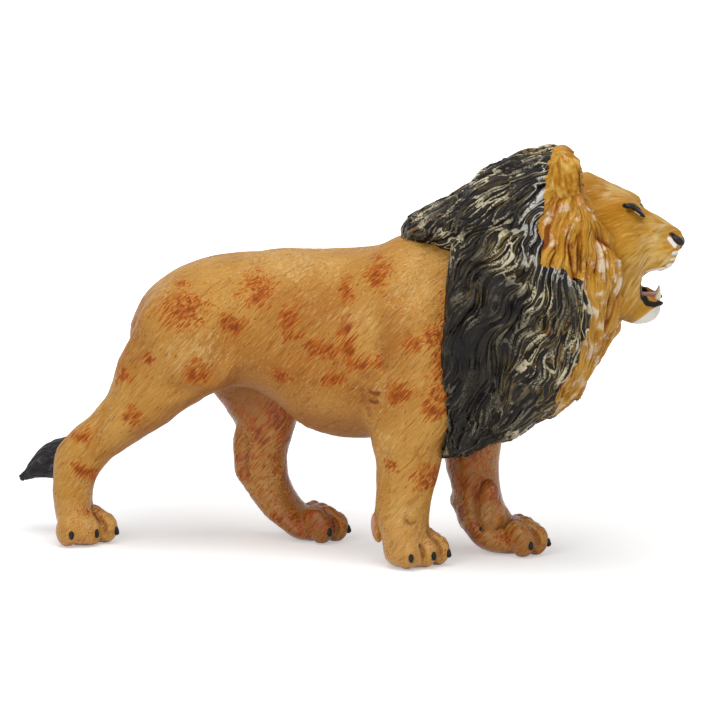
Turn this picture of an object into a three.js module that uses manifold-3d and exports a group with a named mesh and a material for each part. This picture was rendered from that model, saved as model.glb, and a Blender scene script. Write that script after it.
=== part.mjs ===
// Toy lion figure, standing in mid stride, in millimetres with Z up.
// The lion looks along X with its head turned a little to its left, which is plus Y.
// Every piece is a separate moulding: two torso shells, four legs that plug into them,
// a mane that slides over the neck, a golden ruff round the face, the head and its fittings,
// and a tail with its tuft.

import * as THREE from 'three';
import { mergeVertices } from 'three/addons/utils/BufferGeometryUtils.js';
import Module from 'manifold-3d';

const wasm = await Module();
wasm.setup();

// Torso sizes
const bodyLength = 142;
const shoulderHeight = 111;
const bodyWidth = 50;
const shellWall = 2.5;
const clearance = 0.3;

// Locating pins between the torso shells
const pinRadius = 1.8;
const pinLength = 4;
const bossRadius = 4.2;
const bossLength = 7;

// Front leg sizes: fore and aft depth at the shoulder, and width
const foreDepth = 34;
const foreWidth = 22;

// Hind leg sizes: fore and aft depth at the thigh, and width
const thighDepth = 40;
const thighWidth = 22;

// Paw sizes
const pawSpread = 30;
const toeLength = 17;
const toeWidth = 6.4;
const toeHeight = 14;
const toePitch = 4.7;
const clawLength = 3.4;
const clawWidth = 2.2;

// Tail sizes
const tailDrop = 49;
const tailReach = 24;
const tailSway = 5;
const tailThickness = 8.4;
const tuftLength = 24;
const tuftThickness = 12;

// Mane sizes
const maneLength = 64.5;
const maneHeight = 108;
const maneWidth = 60;
const maneWall = 7;
const lockThickness = 6;
const lockWave = 3;
const crestLength = 28;
const crestWidth = 44;
const crestHeight = 25;

// Ruff sizes
const ruffDepth = 36;
const ruffHeight = 92;
const ruffWidth = 57;

// Head sizes
const headTurn = THREE.MathUtils.degToRad(17);
const headLength = 44;
const headHeight = 52;
const headWidth = 31;
const jawLength = 28;
const jawHeight = 12.5;
const jawWidth = 23;
const tongueLength = 11;
const tongueWidth = 7.5;
const tongueThickness = 3.2;
const canineLength = 7;
const canineRadius = 1.4;
const canineSpread = 7.2;
const canineLean = THREE.MathUtils.degToRad(12);
const noseWidth = 9.5;
const noseHeight = 5.4;
const noseThickness = 4.4;
const eyeDiameter = 7.4;
const earHeight = 15;
const earWidth = 13;
const earThickness = 5.6;

// Facets: sides of each ring, and steps of each smooth curve between two stations
const torsoSides = 24;
const coreSides = 14;
const legSides = 14;
const toeSides = 8;
const toeRows = 6;
const clawSides = 6;
const clawRows = 4;
const tailSides = 10;
const maneSides = 28;
const lockSides = 5;
const headSides = 18;
const jawSides = 14;
const smallSides = 10;
const smallRows = 7;
const earSides = 12;
const earRows = 9;
const pinSides = 12;
const fineSteps = 2;
const plainSteps = 1;

// Paints
const coat = { color: 0xb98a4e, roughness: 0.5, metalness: 0 };
const paleCoat = { color: 0xc79a5c, roughness: 0.5, metalness: 0 };
const ruddyCoat = { color: 0xa8713f, roughness: 0.5, metalness: 0 };
const darkHair = { color: 0x2c2728, roughness: 0.45, metalness: 0 };
const goldHair = { color: 0xb07a36, roughness: 0.45, metalness: 0 };
const tuftHair = { color: 0x3a3438, roughness: 0.5, metalness: 0 };
const blackGloss = { color: 0x15110f, roughness: 0.25, metalness: 0 };
const noseBlack = { color: 0x1a1413, roughness: 0.3, metalness: 0 };
const tonguePink = { color: 0xa7504a, roughness: 0.35, metalness: 0 };
const toothCream = { color: 0xe8dcc0, roughness: 0.35, metalness: 0 };
const earTan = { color: 0x9c6a38, roughness: 0.5, metalness: 0 };

// Torso stations: place along the body, belly and back as shares of the shoulder height,
// and half width as a share of the body width
const torsoShares = [
  [0, 0.6, 0.67, 0.08],
  [0.02, 0.54, 0.73, 0.18],
  [0.05, 0.51, 0.79, 0.27],
  [0.11, 0.48, 0.85, 0.37],
  [0.2, 0.475, 0.895, 0.43],
  [0.3, 0.485, 0.915, 0.42],
  [0.37, 0.455, 0.93, 0.42],
  [0.45, 0.39, 0.935, 0.45],
  [0.54, 0.365, 0.945, 0.48],
  [0.61, 0.37, 0.96, 0.5],
  [0.67, 0.375, 0.995, 0.5],
  [0.74, 0.385, 1.01, 0.47],
  [0.82, 0.4, 1.015, 0.43],
  [0.9, 0.46, 1.03, 0.37],
  [0.96, 0.58, 1.03, 0.29],
  [1, 0.72, 0.95, 0.16],
];
const torsoSquareness = 0.86;

// Leg stations from the sole up: height as a share of the shoulder height, shift forward and
// depth as shares of the leg's depth, distance out as a share of half the paw spread, and
// half width as a share of the leg's width
const frontRightShares = [
  [0, 0.07, 0.36, 1, 0.27],
  [0.03, 0.07, 0.49, 1, 0.43],
  [0.08, 0.04, 0.49, 1, 0.43],
  [0.14, 0, 0.52, 1, 0.4],
  [0.19, 0, 0.55, 1, 0.38],
  [0.25, 0.03, 0.59, 1.02, 0.39],
  [0.32, 0.06, 0.65, 1.02, 0.42],
  [0.38, 0.06, 0.74, 1.02, 0.46],
  [0.45, 0.11, 0.88, 1, 0.49],
  [0.54, 0.18, 0.98, 0.97, 0.5],
  [0.66, 0.21, 0.94, 0.95, 0.47],
  [0.75, 0.25, 0.76, 0.87, 0.36],
  [0.8, 0.25, 0.47, 0.8, 0.2],
];
const frontLeftShares = [
  [0, 0.3, 0.38, 1, 0.27],
  [0.035, 0.23, 0.53, 1, 0.43],
  [0.09, 0.12, 0.57, 1, 0.43],
  [0.14, 0.04, 0.51, 1, 0.4],
  [0.19, 0, 0.48, 1, 0.38],
  [0.25, -0.04, 0.52, 1.02, 0.39],
  [0.32, -0.06, 0.56, 1.02, 0.42],
  [0.38, -0.06, 0.6, 1.02, 0.46],
  [0.45, -0.07, 0.71, 1, 0.49],
  [0.54, -0.11, 0.82, 0.97, 0.5],
  [0.66, -0.14, 0.82, 0.95, 0.47],
  [0.75, -0.15, 0.71, 0.87, 0.36],
  [0.8, -0.15, 0.47, 0.8, 0.2],
];
const hindRightShares = [
  [0, 0.13, 0.27, 1, 0.26],
  [0.045, 0.09, 0.35, 1, 0.4],
  [0.1, 0.03, 0.34, 1, 0.36],
  [0.15, 0.01, 0.34, 1, 0.32],
  [0.21, 0.03, 0.38, 1, 0.31],
  [0.27, 0.1, 0.49, 1, 0.32],
  [0.31, 0.2, 0.6, 1, 0.34],
  [0.36, 0.36, 0.67, 1, 0.36],
  [0.4, 0.51, 0.7, 1, 0.38],
  [0.45, 0.66, 0.77, 0.99, 0.42],
  [0.49, 0.77, 0.86, 0.96, 0.45],
  [0.55, 0.9, 0.97, 0.93, 0.47],
  [0.63, 0.98, 1.01, 0.91, 0.48],
  [0.71, 1.03, 0.93, 0.87, 0.43],
  [0.79, 1.04, 0.72, 0.8, 0.34],
  [0.84, 1.05, 0.4, 0.7, 0.2],
];
const hindLeftShares = [
  [0, 0.41, 0.29, 1, 0.26],
  [0.03, 0.36, 0.37, 1, 0.4],
  [0.07, 0.23, 0.44, 1, 0.38],
  [0.12, 0.1, 0.42, 1, 0.35],
  [0.17, 0.01, 0.43, 1, 0.33],
  [0.22, -0.03, 0.44, 1, 0.32],
  [0.27, -0.01, 0.41, 1, 0.33],
  [0.31, 0.01, 0.44, 1, 0.34],
  [0.36, 0.01, 0.52, 1, 0.37],
  [0.4, -0.02, 0.65, 1, 0.38],
  [0.45, -0.08, 0.78, 0.99, 0.42],
  [0.49, -0.15, 0.87, 0.96, 0.45],
  [0.55, -0.24, 0.98, 0.93, 0.47],
  [0.63, -0.31, 1.02, 0.91, 0.48],
  [0.71, -0.35, 0.93, 0.87, 0.43],
  [0.79, -0.36, 0.72, 0.8, 0.34],
  [0.84, -0.35, 0.43, 0.7, 0.2],
];

// Where each leg's ankle stands along the body, and how far its toes reach past the ankle
const frontRightPlaceShare = 0.71;
const frontLeftPlaceShare = 0.83;
const hindRightPlaceShare = -0.12;
const hindLeftPlaceShare = 0.3;
const frontRightToeShare = 0.52;
const frontLeftToeShare = 0.73;
const hindRightToeShare = 0.44;
const hindLeftToeShare = 0.73;

// Toe fan: the two middle toes stand ahead of the outer two
const toeForwardShares = [0.68, 0.92, 1, 0.78];
const toeSideShares = [-1.5, -0.5, 0.5, 1.5];
const toeLiftShares = [0.1, 0, 0, 0.1];

// Tail path as shares of its reach, sway and drop, and its thickness
const tailShares = [
  [0.33, 0.5, 0.07, 1],
  [0.22, 0.6, -0.02, 0.95],
  [0.07, 0.9, -0.19, 0.84],
  [-0.05, 1, -0.35, 0.74],
  [-0.21, 0.9, -0.54, 0.68],
  [-0.38, 0.6, -0.74, 0.64],
  [-0.54, 0.3, -0.9, 0.62],
  [-0.75, 0.1, -1.02, 0.6],
];
const tuftShares = [
  [0.05, 0, 0.04, 0.55],
  [-0.17, 0, -0.06, 0.95],
  [-0.42, -0.02, -0.14, 1.08],
  [-0.63, -0.02, -0.23, 1],
  [-0.84, -0.03, -0.32, 0.72],
  [-0.95, -0.03, -0.38, 0.45],
  [-1, -0.03, -0.41, 0.12],
];

// Mane stations: place along the mane, lowest and highest share of its height, half width share
const maneShares = [
  [0, 0, 0.1, 0.12],
  [0.03, -0.01, 0.3, 0.28],
  [0.06, 0, 0.64, 0.39],
  [0.1, 0, 0.82, 0.46],
  [0.16, 0.015, 0.9, 0.49],
  [0.27, 0.045, 0.94, 0.5],
  [0.38, 0.07, 0.97, 0.49],
  [0.5, 0.13, 0.985, 0.47],
  [0.6, 0.19, 1, 0.44],
  [0.7, 0.25, 0.99, 0.41],
  [0.8, 0.32, 0.935, 0.36],
  [0.9, 0.42, 0.85, 0.29],
  [0.97, 0.52, 0.77, 0.22],
  [1, 0.6, 0.7, 0.1],
];
const crestShares = [
  [0, 0.1, 0.24, 0.03],
  [0.1, 0, 0.42, 0.12],
  [0.28, 0, 0.55, 0.21],
  [0.54, 0, 0.68, 0.32],
  [0.8, 0, 0.86, 0.42],
  [1, 0, 1, 0.5],
];

// Raised locks of the mane and of the ruff: the start and the end of each, as places along and
// up the hair, and how thick a lock is from its start to its end
const maneLockShares = [
  [0.52, 0.92, 0.22, 0.7],
  [0.33, 0.89, 0.12, 0.74],
  [0.56, 0.78, 0.31, 0.56],
  [0.56, 0.64, 0.36, 0.42],
  [0.28, 0.6, 0.13, 0.42],
  [0.74, 0.54, 0.54, 0.32],
  [0.54, 0.44, 0.37, 0.22],
  [0.32, 0.38, 0.15, 0.2],
  [0.38, 0.24, 0.18, 0.08],
];
const ruffLockShares = [
  [0.42, 0.88, 0.36, 0.64],
  [0.6, 0.84, 0.54, 0.62],
  [0.76, 0.68, 0.68, 0.48],
  [0.76, 0.44, 0.66, 0.24],
];
const lockTaperShares = [0.4, 0.85, 1, 0.85, 0.35];

// Ruff stations in the head's own frame, and the edge between golden and dark hair
const ruffShares = [
  [0, 0.12, 0.97, 0.46],
  [0.17, 0.02, 0.99, 0.5],
  [0.34, 0, 1, 0.49],
  [0.5, 0.03, 0.965, 0.46],
  [0.66, 0.1, 0.905, 0.42],
  [0.78, 0.17, 0.86, 0.37],
  [0.9, 0.25, 0.79, 0.31],
  [0.97, 0.32, 0.7, 0.26],
  [1, 0.38, 0.62, 0.18],
];
const goldEdgeShares = [
  [0.4, 1.1],
  [0.34, 0.99],
  [0.27, 0.87],
  [0.25, 0.7],
  [0.25, 0.6],
  [0.42, 0.585],
  [0.6, 0.53],
  [0.69, 0.46],
  [0.66, 0.38],
  [0.61, 0.29],
  [0.52, 0.2],
  [0.43, 0.12],
  [0.38, 0.02],
  [0.36, -0.1],
];

// Head and jaw stations in the head's own frame
const headShares = [
  [-0.14, 0.3, 0.72, 0.28],
  [0, 0.14, 0.93, 0.44],
  [0.14, 0.1, 0.99, 0.49],
  [0.27, 0.1, 1, 0.5],
  [0.41, 0.12, 0.94, 0.48],
  [0.52, 0.15, 0.9, 0.44],
  [0.6, 0.18, 0.85, 0.4],
  [0.64, 0.22, 0.8, 0.37],
  [0.68, 0.31, 0.77, 0.34],
  [0.75, 0.35, 0.735, 0.31],
  [0.86, 0.37, 0.68, 0.29],
  [0.94, 0.385, 0.635, 0.25],
  [0.985, 0.47, 0.61, 0.17],
  [1, 0.53, 0.58, 0.08],
];
const headSquareness = 0.84;
const jawShares = [
  [0, 0.35, 0.96, 0.34],
  [0.2, 0.24, 1, 0.48],
  [0.43, 0.17, 0.94, 0.5],
  [0.58, 0.08, 0.84, 0.43],
  [0.7, 0, 0.72, 0.38],
  [0.83, 0.03, 0.64, 0.33],
  [0.94, 0.16, 0.62, 0.25],
  [1, 0.32, 0.56, 0.12],
];

// How far a lock's middle lies under the hair's skin, as a share of its thickness
const lockSinkShare = 0.3;

// Places of the parts that the torso carries, as shares of its length and height
const maneBackShare = 0.8;
const maneBaseShare = 0.33;
const crestBackShare = 0.675;
const crestBaseShare = 0.965;
const neckPlaceShare = 1.053;
const chinHeightShare = 0.755;
const tailRootShare = 0.7;
const pinPlaceShares = [
  [0.34, 0.89],
  [0.62, 0.92],
  [0.46, 0.43],
];

// Places in the head, as shares of the head's length, height and width
const ruffBackShare = -0.3;
const ruffBaseShare = -0.57;
const jawBackShare = 0.18;
const tongueBackShare = 0.56;
const tongueHeightShare = 0.72;
const caninePlaceShare = 0.93;
const canineRootShare = 0.35;
const nosePlaceShares = [0.96, 0, 0.56];
const eyePlaceShares = [0.61, 0.29, 0.785];
const earPlaceShares = [0.13, 0.5, 1.03];
const eyeLengthShare = 0.62;
const eyeDepthShare = 0.4;
const eyeTilt = THREE.MathUtils.degToRad(24);
const earLean = THREE.MathUtils.degToRad(24);
const earSpread = THREE.MathUtils.degToRad(38);
const earCupShare = 0.72;

// Value of a smooth curve between two stations, from its four neighbours
function curveValue(before, from, to, after, t) {
  const leave = (to - before) / 2;
  const arrive = (after - from) / 2;
  const square = t * t;
  const cube = square * t;
  const start = from * (2 * cube - 3 * square + 1) + leave * (cube - 2 * square + t);
  const end = to * (3 * square - 2 * cube) + arrive * (cube - square);
  return start + end;
}

// Stations on a smooth curve through the given ones, with more rows between them
function smoothRows(rows, steps) {
  const smooth = [];
  for (let i = 0; i < rows.length - 1; i += 1) {
    const before = rows[Math.max(i - 1, 0)];
    const from = rows[i];
    const to = rows[i + 1];
    const after = rows[Math.min(i + 2, rows.length - 1)];
    for (let step = 0; step < steps; step += 1) {
      const t = step / steps;
      smooth.push(from.map((value, k) => curveValue(before[k], value, to[k], after[k], t)));
    }
  }
  smooth.push(rows[rows.length - 1]);
  return smooth;
}

// A closed skin over a row of rings, with a flat fan on each end
function loft(rings) {
  const sides = rings[0].length;
  const points = rings.flat();
  const firstCentre = points.length;
  const lastCentre = firstCentre + 1;
  const lastStart = (rings.length - 1) * sides;
  points.push(middleOf(rings[0]), middleOf(rings[rings.length - 1]));
  const faces = [];
  for (let k = 0; k < sides; k += 1) {
    const next = (k + 1) % sides;
    for (let start = 0; start < lastStart; start += sides) {
      faces.push(start + k, start + next, start + sides + next);
      faces.push(start + k, start + sides + next, start + sides + k);
    }
    faces.push(firstCentre, next, k);
    faces.push(lastCentre, lastStart + k, lastStart + next);
  }
  const skin = new THREE.BufferGeometry().setFromPoints(points);
  skin.setIndex(faces);
  return skin;
}

function middleOf(ring) {
  const sum = new THREE.Vector3();
  ring.forEach((point) => sum.add(point));
  return sum.divideScalar(ring.length);
}

// One point of a rounded ring: 1 gives an ellipse, less gives squarer shoulders
function roundedPair(angle, squareness) {
  const across = Math.cos(angle);
  const up = Math.sin(angle);
  return [
    Math.sign(across) * Math.abs(across) ** squareness,
    Math.sign(up) * Math.abs(up) ** squareness,
  ];
}

// A ring that stands square to X, between a low and a high edge
function uprightRing(x, low, high, half, sides, squareness) {
  const ring = [];
  for (let k = 0; k < sides; k += 1) {
    const [across, up] = roundedPair((2 * Math.PI * k) / sides, squareness);
    ring.push(new THREE.Vector3(x, half * across, (low + high) / 2 + ((high - low) / 2) * up));
  }
  return ring;
}

// A ring that lies level, between a back and a front edge
function levelRing(z, centreX, depth, centreY, half, sides) {
  const ring = [];
  for (let k = 0; k < sides; k += 1) {
    const [along, across] = roundedPair((2 * Math.PI * k) / sides, 1);
    ring.push(new THREE.Vector3(centreX + (depth / 2) * along, centreY + half * across, z));
  }
  return ring;
}

// A body of upright rings whose stations are shares of a length, a height and a width
function uprightBody(rows, size, base, sides, squareness, steps) {
  const rings = smoothRows(rows, steps).map(([along, low, high, half]) =>
    uprightRing(
      base.x + along * size.x,
      base.z + low * size.z,
      base.z + high * size.z,
      half * size.y,
      sides,
      squareness,
    ),
  );
  return loft(rings);
}

// The hollow of an upright body, one wall thickness inside it
function innerBody(rows, size, base, wall, squareness) {
  const rings = rows.map(([along, low, high, half]) =>
    uprightRing(
      base.x + wall + along * (size.x - 2 * wall),
      base.z + low * size.z + wall,
      base.z + high * size.z - wall,
      half * size.y - wall,
      coreSides,
      squareness,
    ),
  );
  return loft(rings);
}

// A round tube of changing thickness through a row of places
function taperedTube(places, sides) {
  const centres = places.map((place) => place.centre);
  const rings = places.map((place, i) => {
    const ahead = centres[Math.min(i + 1, centres.length - 1)];
    const behind = centres[Math.max(i - 1, 0)];
    const along = ahead.clone().sub(behind).normalize();
    const right = new THREE.Vector3(0, 1, 0).cross(along).normalize();
    const up = along.clone().cross(right);
    return ringRound(place, right, up, sides);
  });
  return loft(rings);
}

function ringRound(place, right, up, sides) {
  const ring = [];
  for (let k = 0; k < sides; k += 1) {
    const angle = (2 * Math.PI * k) / sides;
    const point = place.centre.clone();
    point.addScaledVector(right, place.radius * Math.cos(angle));
    point.addScaledVector(up, place.radius * Math.sin(angle));
    ring.push(point);
  }
  return ring;
}

// A ball stretched to its three half sizes
function ball(halfX, halfY, halfZ, sides, rows) {
  const round = new THREE.SphereGeometry(1, sides, rows);
  round.scale(halfX, halfY, halfZ);
  return round;
}

// Only the positions of a geometry, with its shared corners joined
function bareSkin(geometry) {
  const bare = geometry.clone();
  bare.deleteAttribute('normal');
  bare.deleteAttribute('uv');
  return mergeVertices(bare);
}

// The same skin pushed out along its normals by a running gap
function grown(geometry, amount) {
  const skin = bareSkin(geometry);
  skin.computeVertexNormals();
  const position = skin.getAttribute('position');
  const normal = skin.getAttribute('normal');
  for (let i = 0; i < position.count; i += 1) {
    const point = new THREE.Vector3().fromBufferAttribute(position, i);
    point.addScaledVector(new THREE.Vector3().fromBufferAttribute(normal, i), amount);
    position.setXYZ(i, point.x, point.y, point.z);
  }
  return skin;
}

function solidOf(geometry) {
  const skin = bareSkin(geometry);
  return new wasm.Manifold(
    new wasm.Mesh({
      numProp: 3,
      vertProperties: new Float32Array(skin.getAttribute('position').array),
      triVerts: new Uint32Array(skin.getIndex().array),
    }),
  );
}

function geometryOf(solid) {
  const mesh = solid.getMesh();
  const geometry = new THREE.BufferGeometry();
  geometry.setAttribute('position', new THREE.BufferAttribute(mesh.vertProperties, 3));
  geometry.setIndex(new THREE.BufferAttribute(mesh.triVerts, 1));
  geometry.computeVertexNormals();
  return geometry;
}

// The first geometry with the others joined on
function joined(first, others) {
  return geometryOf(others.reduce((sum, other) => sum.add(solidOf(other)), solidOf(first)));
}

// The first geometry with the others cut away
function cut(first, cutters) {
  return geometryOf(cutters.reduce((rest, tool) => rest.subtract(solidOf(tool)), solidOf(first)));
}

function common(first, second) {
  return geometryOf(solidOf(first).intersect(solidOf(second)));
}

function moved(geometry, matrix) {
  return geometry.clone().applyMatrix4(matrix);
}

function piece(name, geometry, paint) {
  const mesh = new THREE.Mesh(geometry, new THREE.MeshStandardMaterial(paint));
  mesh.name = name;
  return mesh;
}

// A block that covers everything on one side of the centre plane
function sideBlock(side) {
  const block = new THREE.BoxGeometry(bodyLength * 2, bodyWidth, shoulderHeight * 2);
  return block.translate(bodyLength / 2, (side * bodyWidth) / 2, shoulderHeight);
}

// Torso: a hollow casting in two shells that meet on the centre plane
const torsoSize = new THREE.Vector3(bodyLength, bodyWidth, shoulderHeight);
const floorOrigin = new THREE.Vector3();
const torsoSkin = uprightBody(
  torsoShares, torsoSize, floorOrigin, torsoSides, torsoSquareness, fineSteps,
);

const torsoCoreRows = torsoShares.slice(2, -1);
const torsoCore = innerBody(torsoCoreRows, torsoSize, floorOrigin, shellWall, torsoSquareness);

// A round bar along Y from the centre plane
function crossBar(radius, length, side, [alongShare, heightShare]) {
  const bar = new THREE.CylinderGeometry(radius, radius, length, pinSides);
  bar.translate(0, (side * length) / 2, 0);
  return bar.translate(alongShare * bodyLength, 0, heightShare * shoulderHeight);
}

function torsoBosses(side) {
  const bars = pinPlaceShares.map((place) => crossBar(bossRadius, bossLength, side, place));
  return bars.map((bar) => common(bar, torsoSkin));
}

function torsoShell(side, openings) {
  const half = common(torsoSkin, sideBlock(side));
  const hollow = joined(cut(half, [torsoCore]), torsoBosses(side));
  return cut(hollow, openings);
}

// Right shell holes take the left shell's pins
function pinHoles() {
  return pinPlaceShares.map((place) =>
    crossBar(pinRadius + clearance, pinLength + clearance, -1, place),
  );
}

function torsoPins() {
  return pinPlaceShares.map((place) => {
    const inside = crossBar(pinRadius, pinLength, -1, place);
    return joined(inside, [crossBar(pinRadius, pinLength, 1, place)]);
  });
}

// Legs: each stands on its own ankle place, with its top plugged into the torso
const legs = [
  {
    name: 'front_leg_right',
    rows: frontRightShares,
    side: -1,
    place: frontRightPlaceShare,
    toes: frontRightToeShare,
    depth: foreDepth,
    width: foreWidth,
    paint: coat,
  },
  {
    name: 'front_leg_left',
    rows: frontLeftShares,
    side: 1,
    place: frontLeftPlaceShare,
    toes: frontLeftToeShare,
    depth: foreDepth,
    width: foreWidth,
    paint: ruddyCoat,
  },
  {
    name: 'hind_leg_right',
    rows: hindRightShares,
    side: -1,
    place: hindRightPlaceShare,
    toes: hindRightToeShare,
    depth: thighDepth,
    width: thighWidth,
    paint: paleCoat,
  },
  {
    name: 'hind_leg_left',
    rows: hindLeftShares,
    side: 1,
    place: hindLeftPlaceShare,
    toes: hindLeftToeShare,
    depth: thighDepth,
    width: thighWidth,
    paint: ruddyCoat,
  },
];

function legPlace(leg) {
  return new THREE.Vector3(leg.place * bodyLength, (leg.side * pawSpread) / 2, 0);
}

function legSkin(leg) {
  const rings = leg.rows.map(([high, shift, depth, out, half]) =>
    levelRing(
      high * shoulderHeight,
      shift * leg.depth,
      depth * leg.depth,
      (leg.side * (out - 1) * pawSpread) / 2,
      half * leg.width,
      legSides,
    ),
  );
  return loft(rings);
}

// A toe, with its claw as a small bead on the tip
function toe(leg, index) {
  const tip = leg.toes * leg.depth - (1 - toeForwardShares[index]) * toeLength;
  const side = leg.side * toeSideShares[index] * toePitch;
  const pad = ball(toeLength / 2, toeWidth / 2, toeHeight / 2, toeSides, toeRows);
  const lift = toeLiftShares[index] * toeHeight;
  pad.translate(tip - toeLength / 2, side, toeHeight / 2 - clearance + lift);
  const claw = ball(clawLength / 2, clawWidth / 2, clawWidth / 2, clawSides, clawRows);
  claw.translate(tip - clawLength / 4, side, toeHeight / 3 + lift);
  return [pad, claw];
}

function legSolid(leg) {
  const toes = toeSideShares.flatMap((_, index) => toe(leg, index));
  const floor = new THREE.BoxGeometry(leg.depth * 4, leg.width * 2, toeHeight);
  floor.translate(0, 0, -toeHeight / 2);
  return cut(joined(legSkin(leg), toes), [floor]);
}

function legMesh(leg) {
  const mesh = piece(leg.name, legSolid(leg), leg.paint);
  mesh.position.copy(legPlace(leg));
  return mesh;
}

function legCutter(leg) {
  const place = legPlace(leg);
  return grown(legSkin(leg), clearance).translate(place.x, place.y, place.z);
}

// Tail: a stem plugged into the rump, and a tuft over its end
const tailRoot = new THREE.Vector3(0, 0, tailRootShare * shoulderHeight);

function tailPlaces(rows, reach, sway, drop, thickness) {
  return smoothRows(rows, fineSteps).map(([x, y, z, thick]) => ({
    centre: new THREE.Vector3(x * reach, y * sway, z * drop),
    radius: (thick * thickness) / 2,
  }));
}

const stemPlaces = tailPlaces(tailShares, tailReach, tailSway, tailDrop, tailThickness);
const stemSkin = taperedTube(stemPlaces, tailSides);
const stemEnd = stemPlaces[stemPlaces.length - 1].centre;
const tuftBack = tailThickness / 4;

function tuftSolid() {
  const places = tailPlaces(tuftShares, tuftLength, tuftLength, tuftLength, tuftThickness);
  const skin = taperedTube(places, tailSides);
  skin.translate(stemEnd.x + tuftBack, stemEnd.y, stemEnd.z + tuftBack);
  return cut(skin, [grown(stemSkin, clearance)]);
}

// The right side and the left
const sides = [-1, 1];

// A point near the side of an upright body, sunk under its skin
function sidePoint(rows, size, base, side, along, up, sink) {
  const end = Math.max(rows.findIndex((row) => row[0] >= along), 1);
  const share = (along - rows[end - 1][0]) / (rows[end][0] - rows[end - 1][0]);
  const [low, high, half] = [1, 2, 3].map((column) =>
    THREE.MathUtils.lerp(rows[end - 1][column], rows[end][column], share),
  );
  const rise = (2 * up - high - low) / (high - low);
  const across = half * size.y * Math.sqrt(Math.max(1 - rise * rise, 0)) - sink;
  return new THREE.Vector3(base.x + along * size.x, side * across, base.z + up * size.z);
}

// Wavy raised locks along both sides of an upright body of hair
function lockTubes(lockRows, rows, size, base) {
  const last = lockTaperShares.length - 1;
  return sides.flatMap((side) => lockRows.map(([fromAlong, fromUp, toAlong, toUp]) => {
    const places = lockTaperShares.map((taper, i) => {
      const t = i / last;
      const wave = (lockWave / 2 / size.x) * Math.sin(2 * Math.PI * t);
      const along = THREE.MathUtils.lerp(fromAlong, toAlong, t) + wave;
      const up = THREE.MathUtils.lerp(fromUp, toUp, t);
      const sink = lockSinkShare * lockThickness;
      const centre = sidePoint(rows, size, base, side, along, up, sink);
      return { centre, radius: (taper * lockThickness) / 2 };
    });
    return taperedTube(places, lockSides);
  }));
}

// Mane: a dark collar over the neck and chest, with a crest that runs back over the shoulders
const maneSize = new THREE.Vector3(maneLength, maneWidth, maneHeight);
const maneBase = new THREE.Vector3(
  maneBackShare * bodyLength, 0, maneBaseShare * shoulderHeight,
);
const maneSkin = uprightBody(maneShares, maneSize, maneBase, maneSides, 1, fineSteps);
const maneCoreRows = maneShares.slice(4, -3);
const maneCore = innerBody(maneCoreRows, maneSize, maneBase, maneWall, 1);

function crestSkin() {
  const size = new THREE.Vector3(crestLength, crestWidth, crestHeight);
  const base = new THREE.Vector3(
    crestBackShare * bodyLength, 0, crestBaseShare * shoulderHeight,
  );
  return uprightBody(crestShares, size, base, coreSides, 1, plainSteps);
}

// Head frame: it stands on the chin line over the neck, turned to the lion's left
const headPlace = new THREE.Vector3(
  neckPlaceShare * bodyLength, 0, chinHeightShare * shoulderHeight,
);
const headFrame = new THREE.Matrix4()
  .makeRotationZ(headTurn)
  .setPosition(headPlace);
const headOrigin = new THREE.Vector3();
const headSize = new THREE.Vector3(headLength, headWidth, headHeight);
const headSkin = uprightBody(
  headShares, headSize, headOrigin, headSides, headSquareness, fineSteps,
);

const jawSize = new THREE.Vector3(jawLength, jawWidth, jawHeight);
const jawBase = new THREE.Vector3(jawBackShare * headLength, 0, 0);
const jawSkin = uprightBody(jawShares, jawSize, jawBase, jawSides, 1, plainSteps);

// Ruff: golden hair round the face, cut to the outline where it meets the dark mane
const ruffSize = new THREE.Vector3(ruffDepth, ruffWidth, ruffHeight);
const ruffBase = new THREE.Vector3(ruffBackShare * headLength, 0, ruffBaseShare * headHeight);
const ruffSkin = uprightBody(ruffShares, ruffSize, ruffBase, maneSides, 1, plainSteps);

// The space ahead of the golden edge, as wide as the mane, moved back by a gap
function goldSpace(gap) {
  const outline = new THREE.Shape();
  goldEdgeShares.forEach(([along, up], index) => {
    const x = ruffBase.x + along * ruffDepth - gap;
    const z = ruffBase.z + up * ruffHeight;
    if (index === 0) {
      outline.moveTo(x, z);
    } else {
      outline.lineTo(x, z);
    }
  });
  const lastUp = goldEdgeShares[goldEdgeShares.length - 1][1];
  outline.lineTo(headLength * 2, ruffBase.z + lastUp * ruffHeight);
  outline.lineTo(headLength * 2, ruffBase.z + goldEdgeShares[0][1] * ruffHeight);
  const block = new THREE.ExtrudeGeometry(outline, { depth: maneWidth * 2, bevelEnabled: false });
  block.translate(0, 0, -maneWidth);
  return block.rotateX(Math.PI / 2);
}

// Ears: cupped leaves that stand in the ruff
function earLeaf(side, amount) {
  const leaf = ball(
    earThickness / 2 + amount, earWidth / 2 + amount, earHeight / 2 + amount, earSides, earRows,
  );
  return placedEar(leaf, side);
}

function earCup(side) {
  const cup = ball(
    (earThickness / 2) * earCupShare,
    (earWidth / 2) * earCupShare,
    (earHeight / 2) * earCupShare,
    earSides,
    earRows,
  );
  cup.translate(earThickness / 2, 0, 0);
  return placedEar(cup, side);
}

function placedEar(geometry, side) {
  const [along, across, up] = earPlaceShares;
  geometry.rotateX(-side * earLean);
  geometry.rotateZ(side * earSpread);
  return geometry.translate(along * headLength, side * across * headWidth, up * headHeight);
}

// Eyes: almond beads in sockets at the sides of the brow
function eyeBead(side, amount) {
  const bead = ball(
    eyeDiameter / 2 + amount,
    (eyeDiameter / 2) * eyeDepthShare + amount,
    (eyeDiameter / 2) * eyeLengthShare + amount,
    smallSides,
    smallRows,
  );
  const [along, across, up] = eyePlaceShares;
  bead.rotateZ(-side * eyeTilt);
  return bead.translate(along * headLength, side * across * headWidth, up * headHeight);
}

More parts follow.
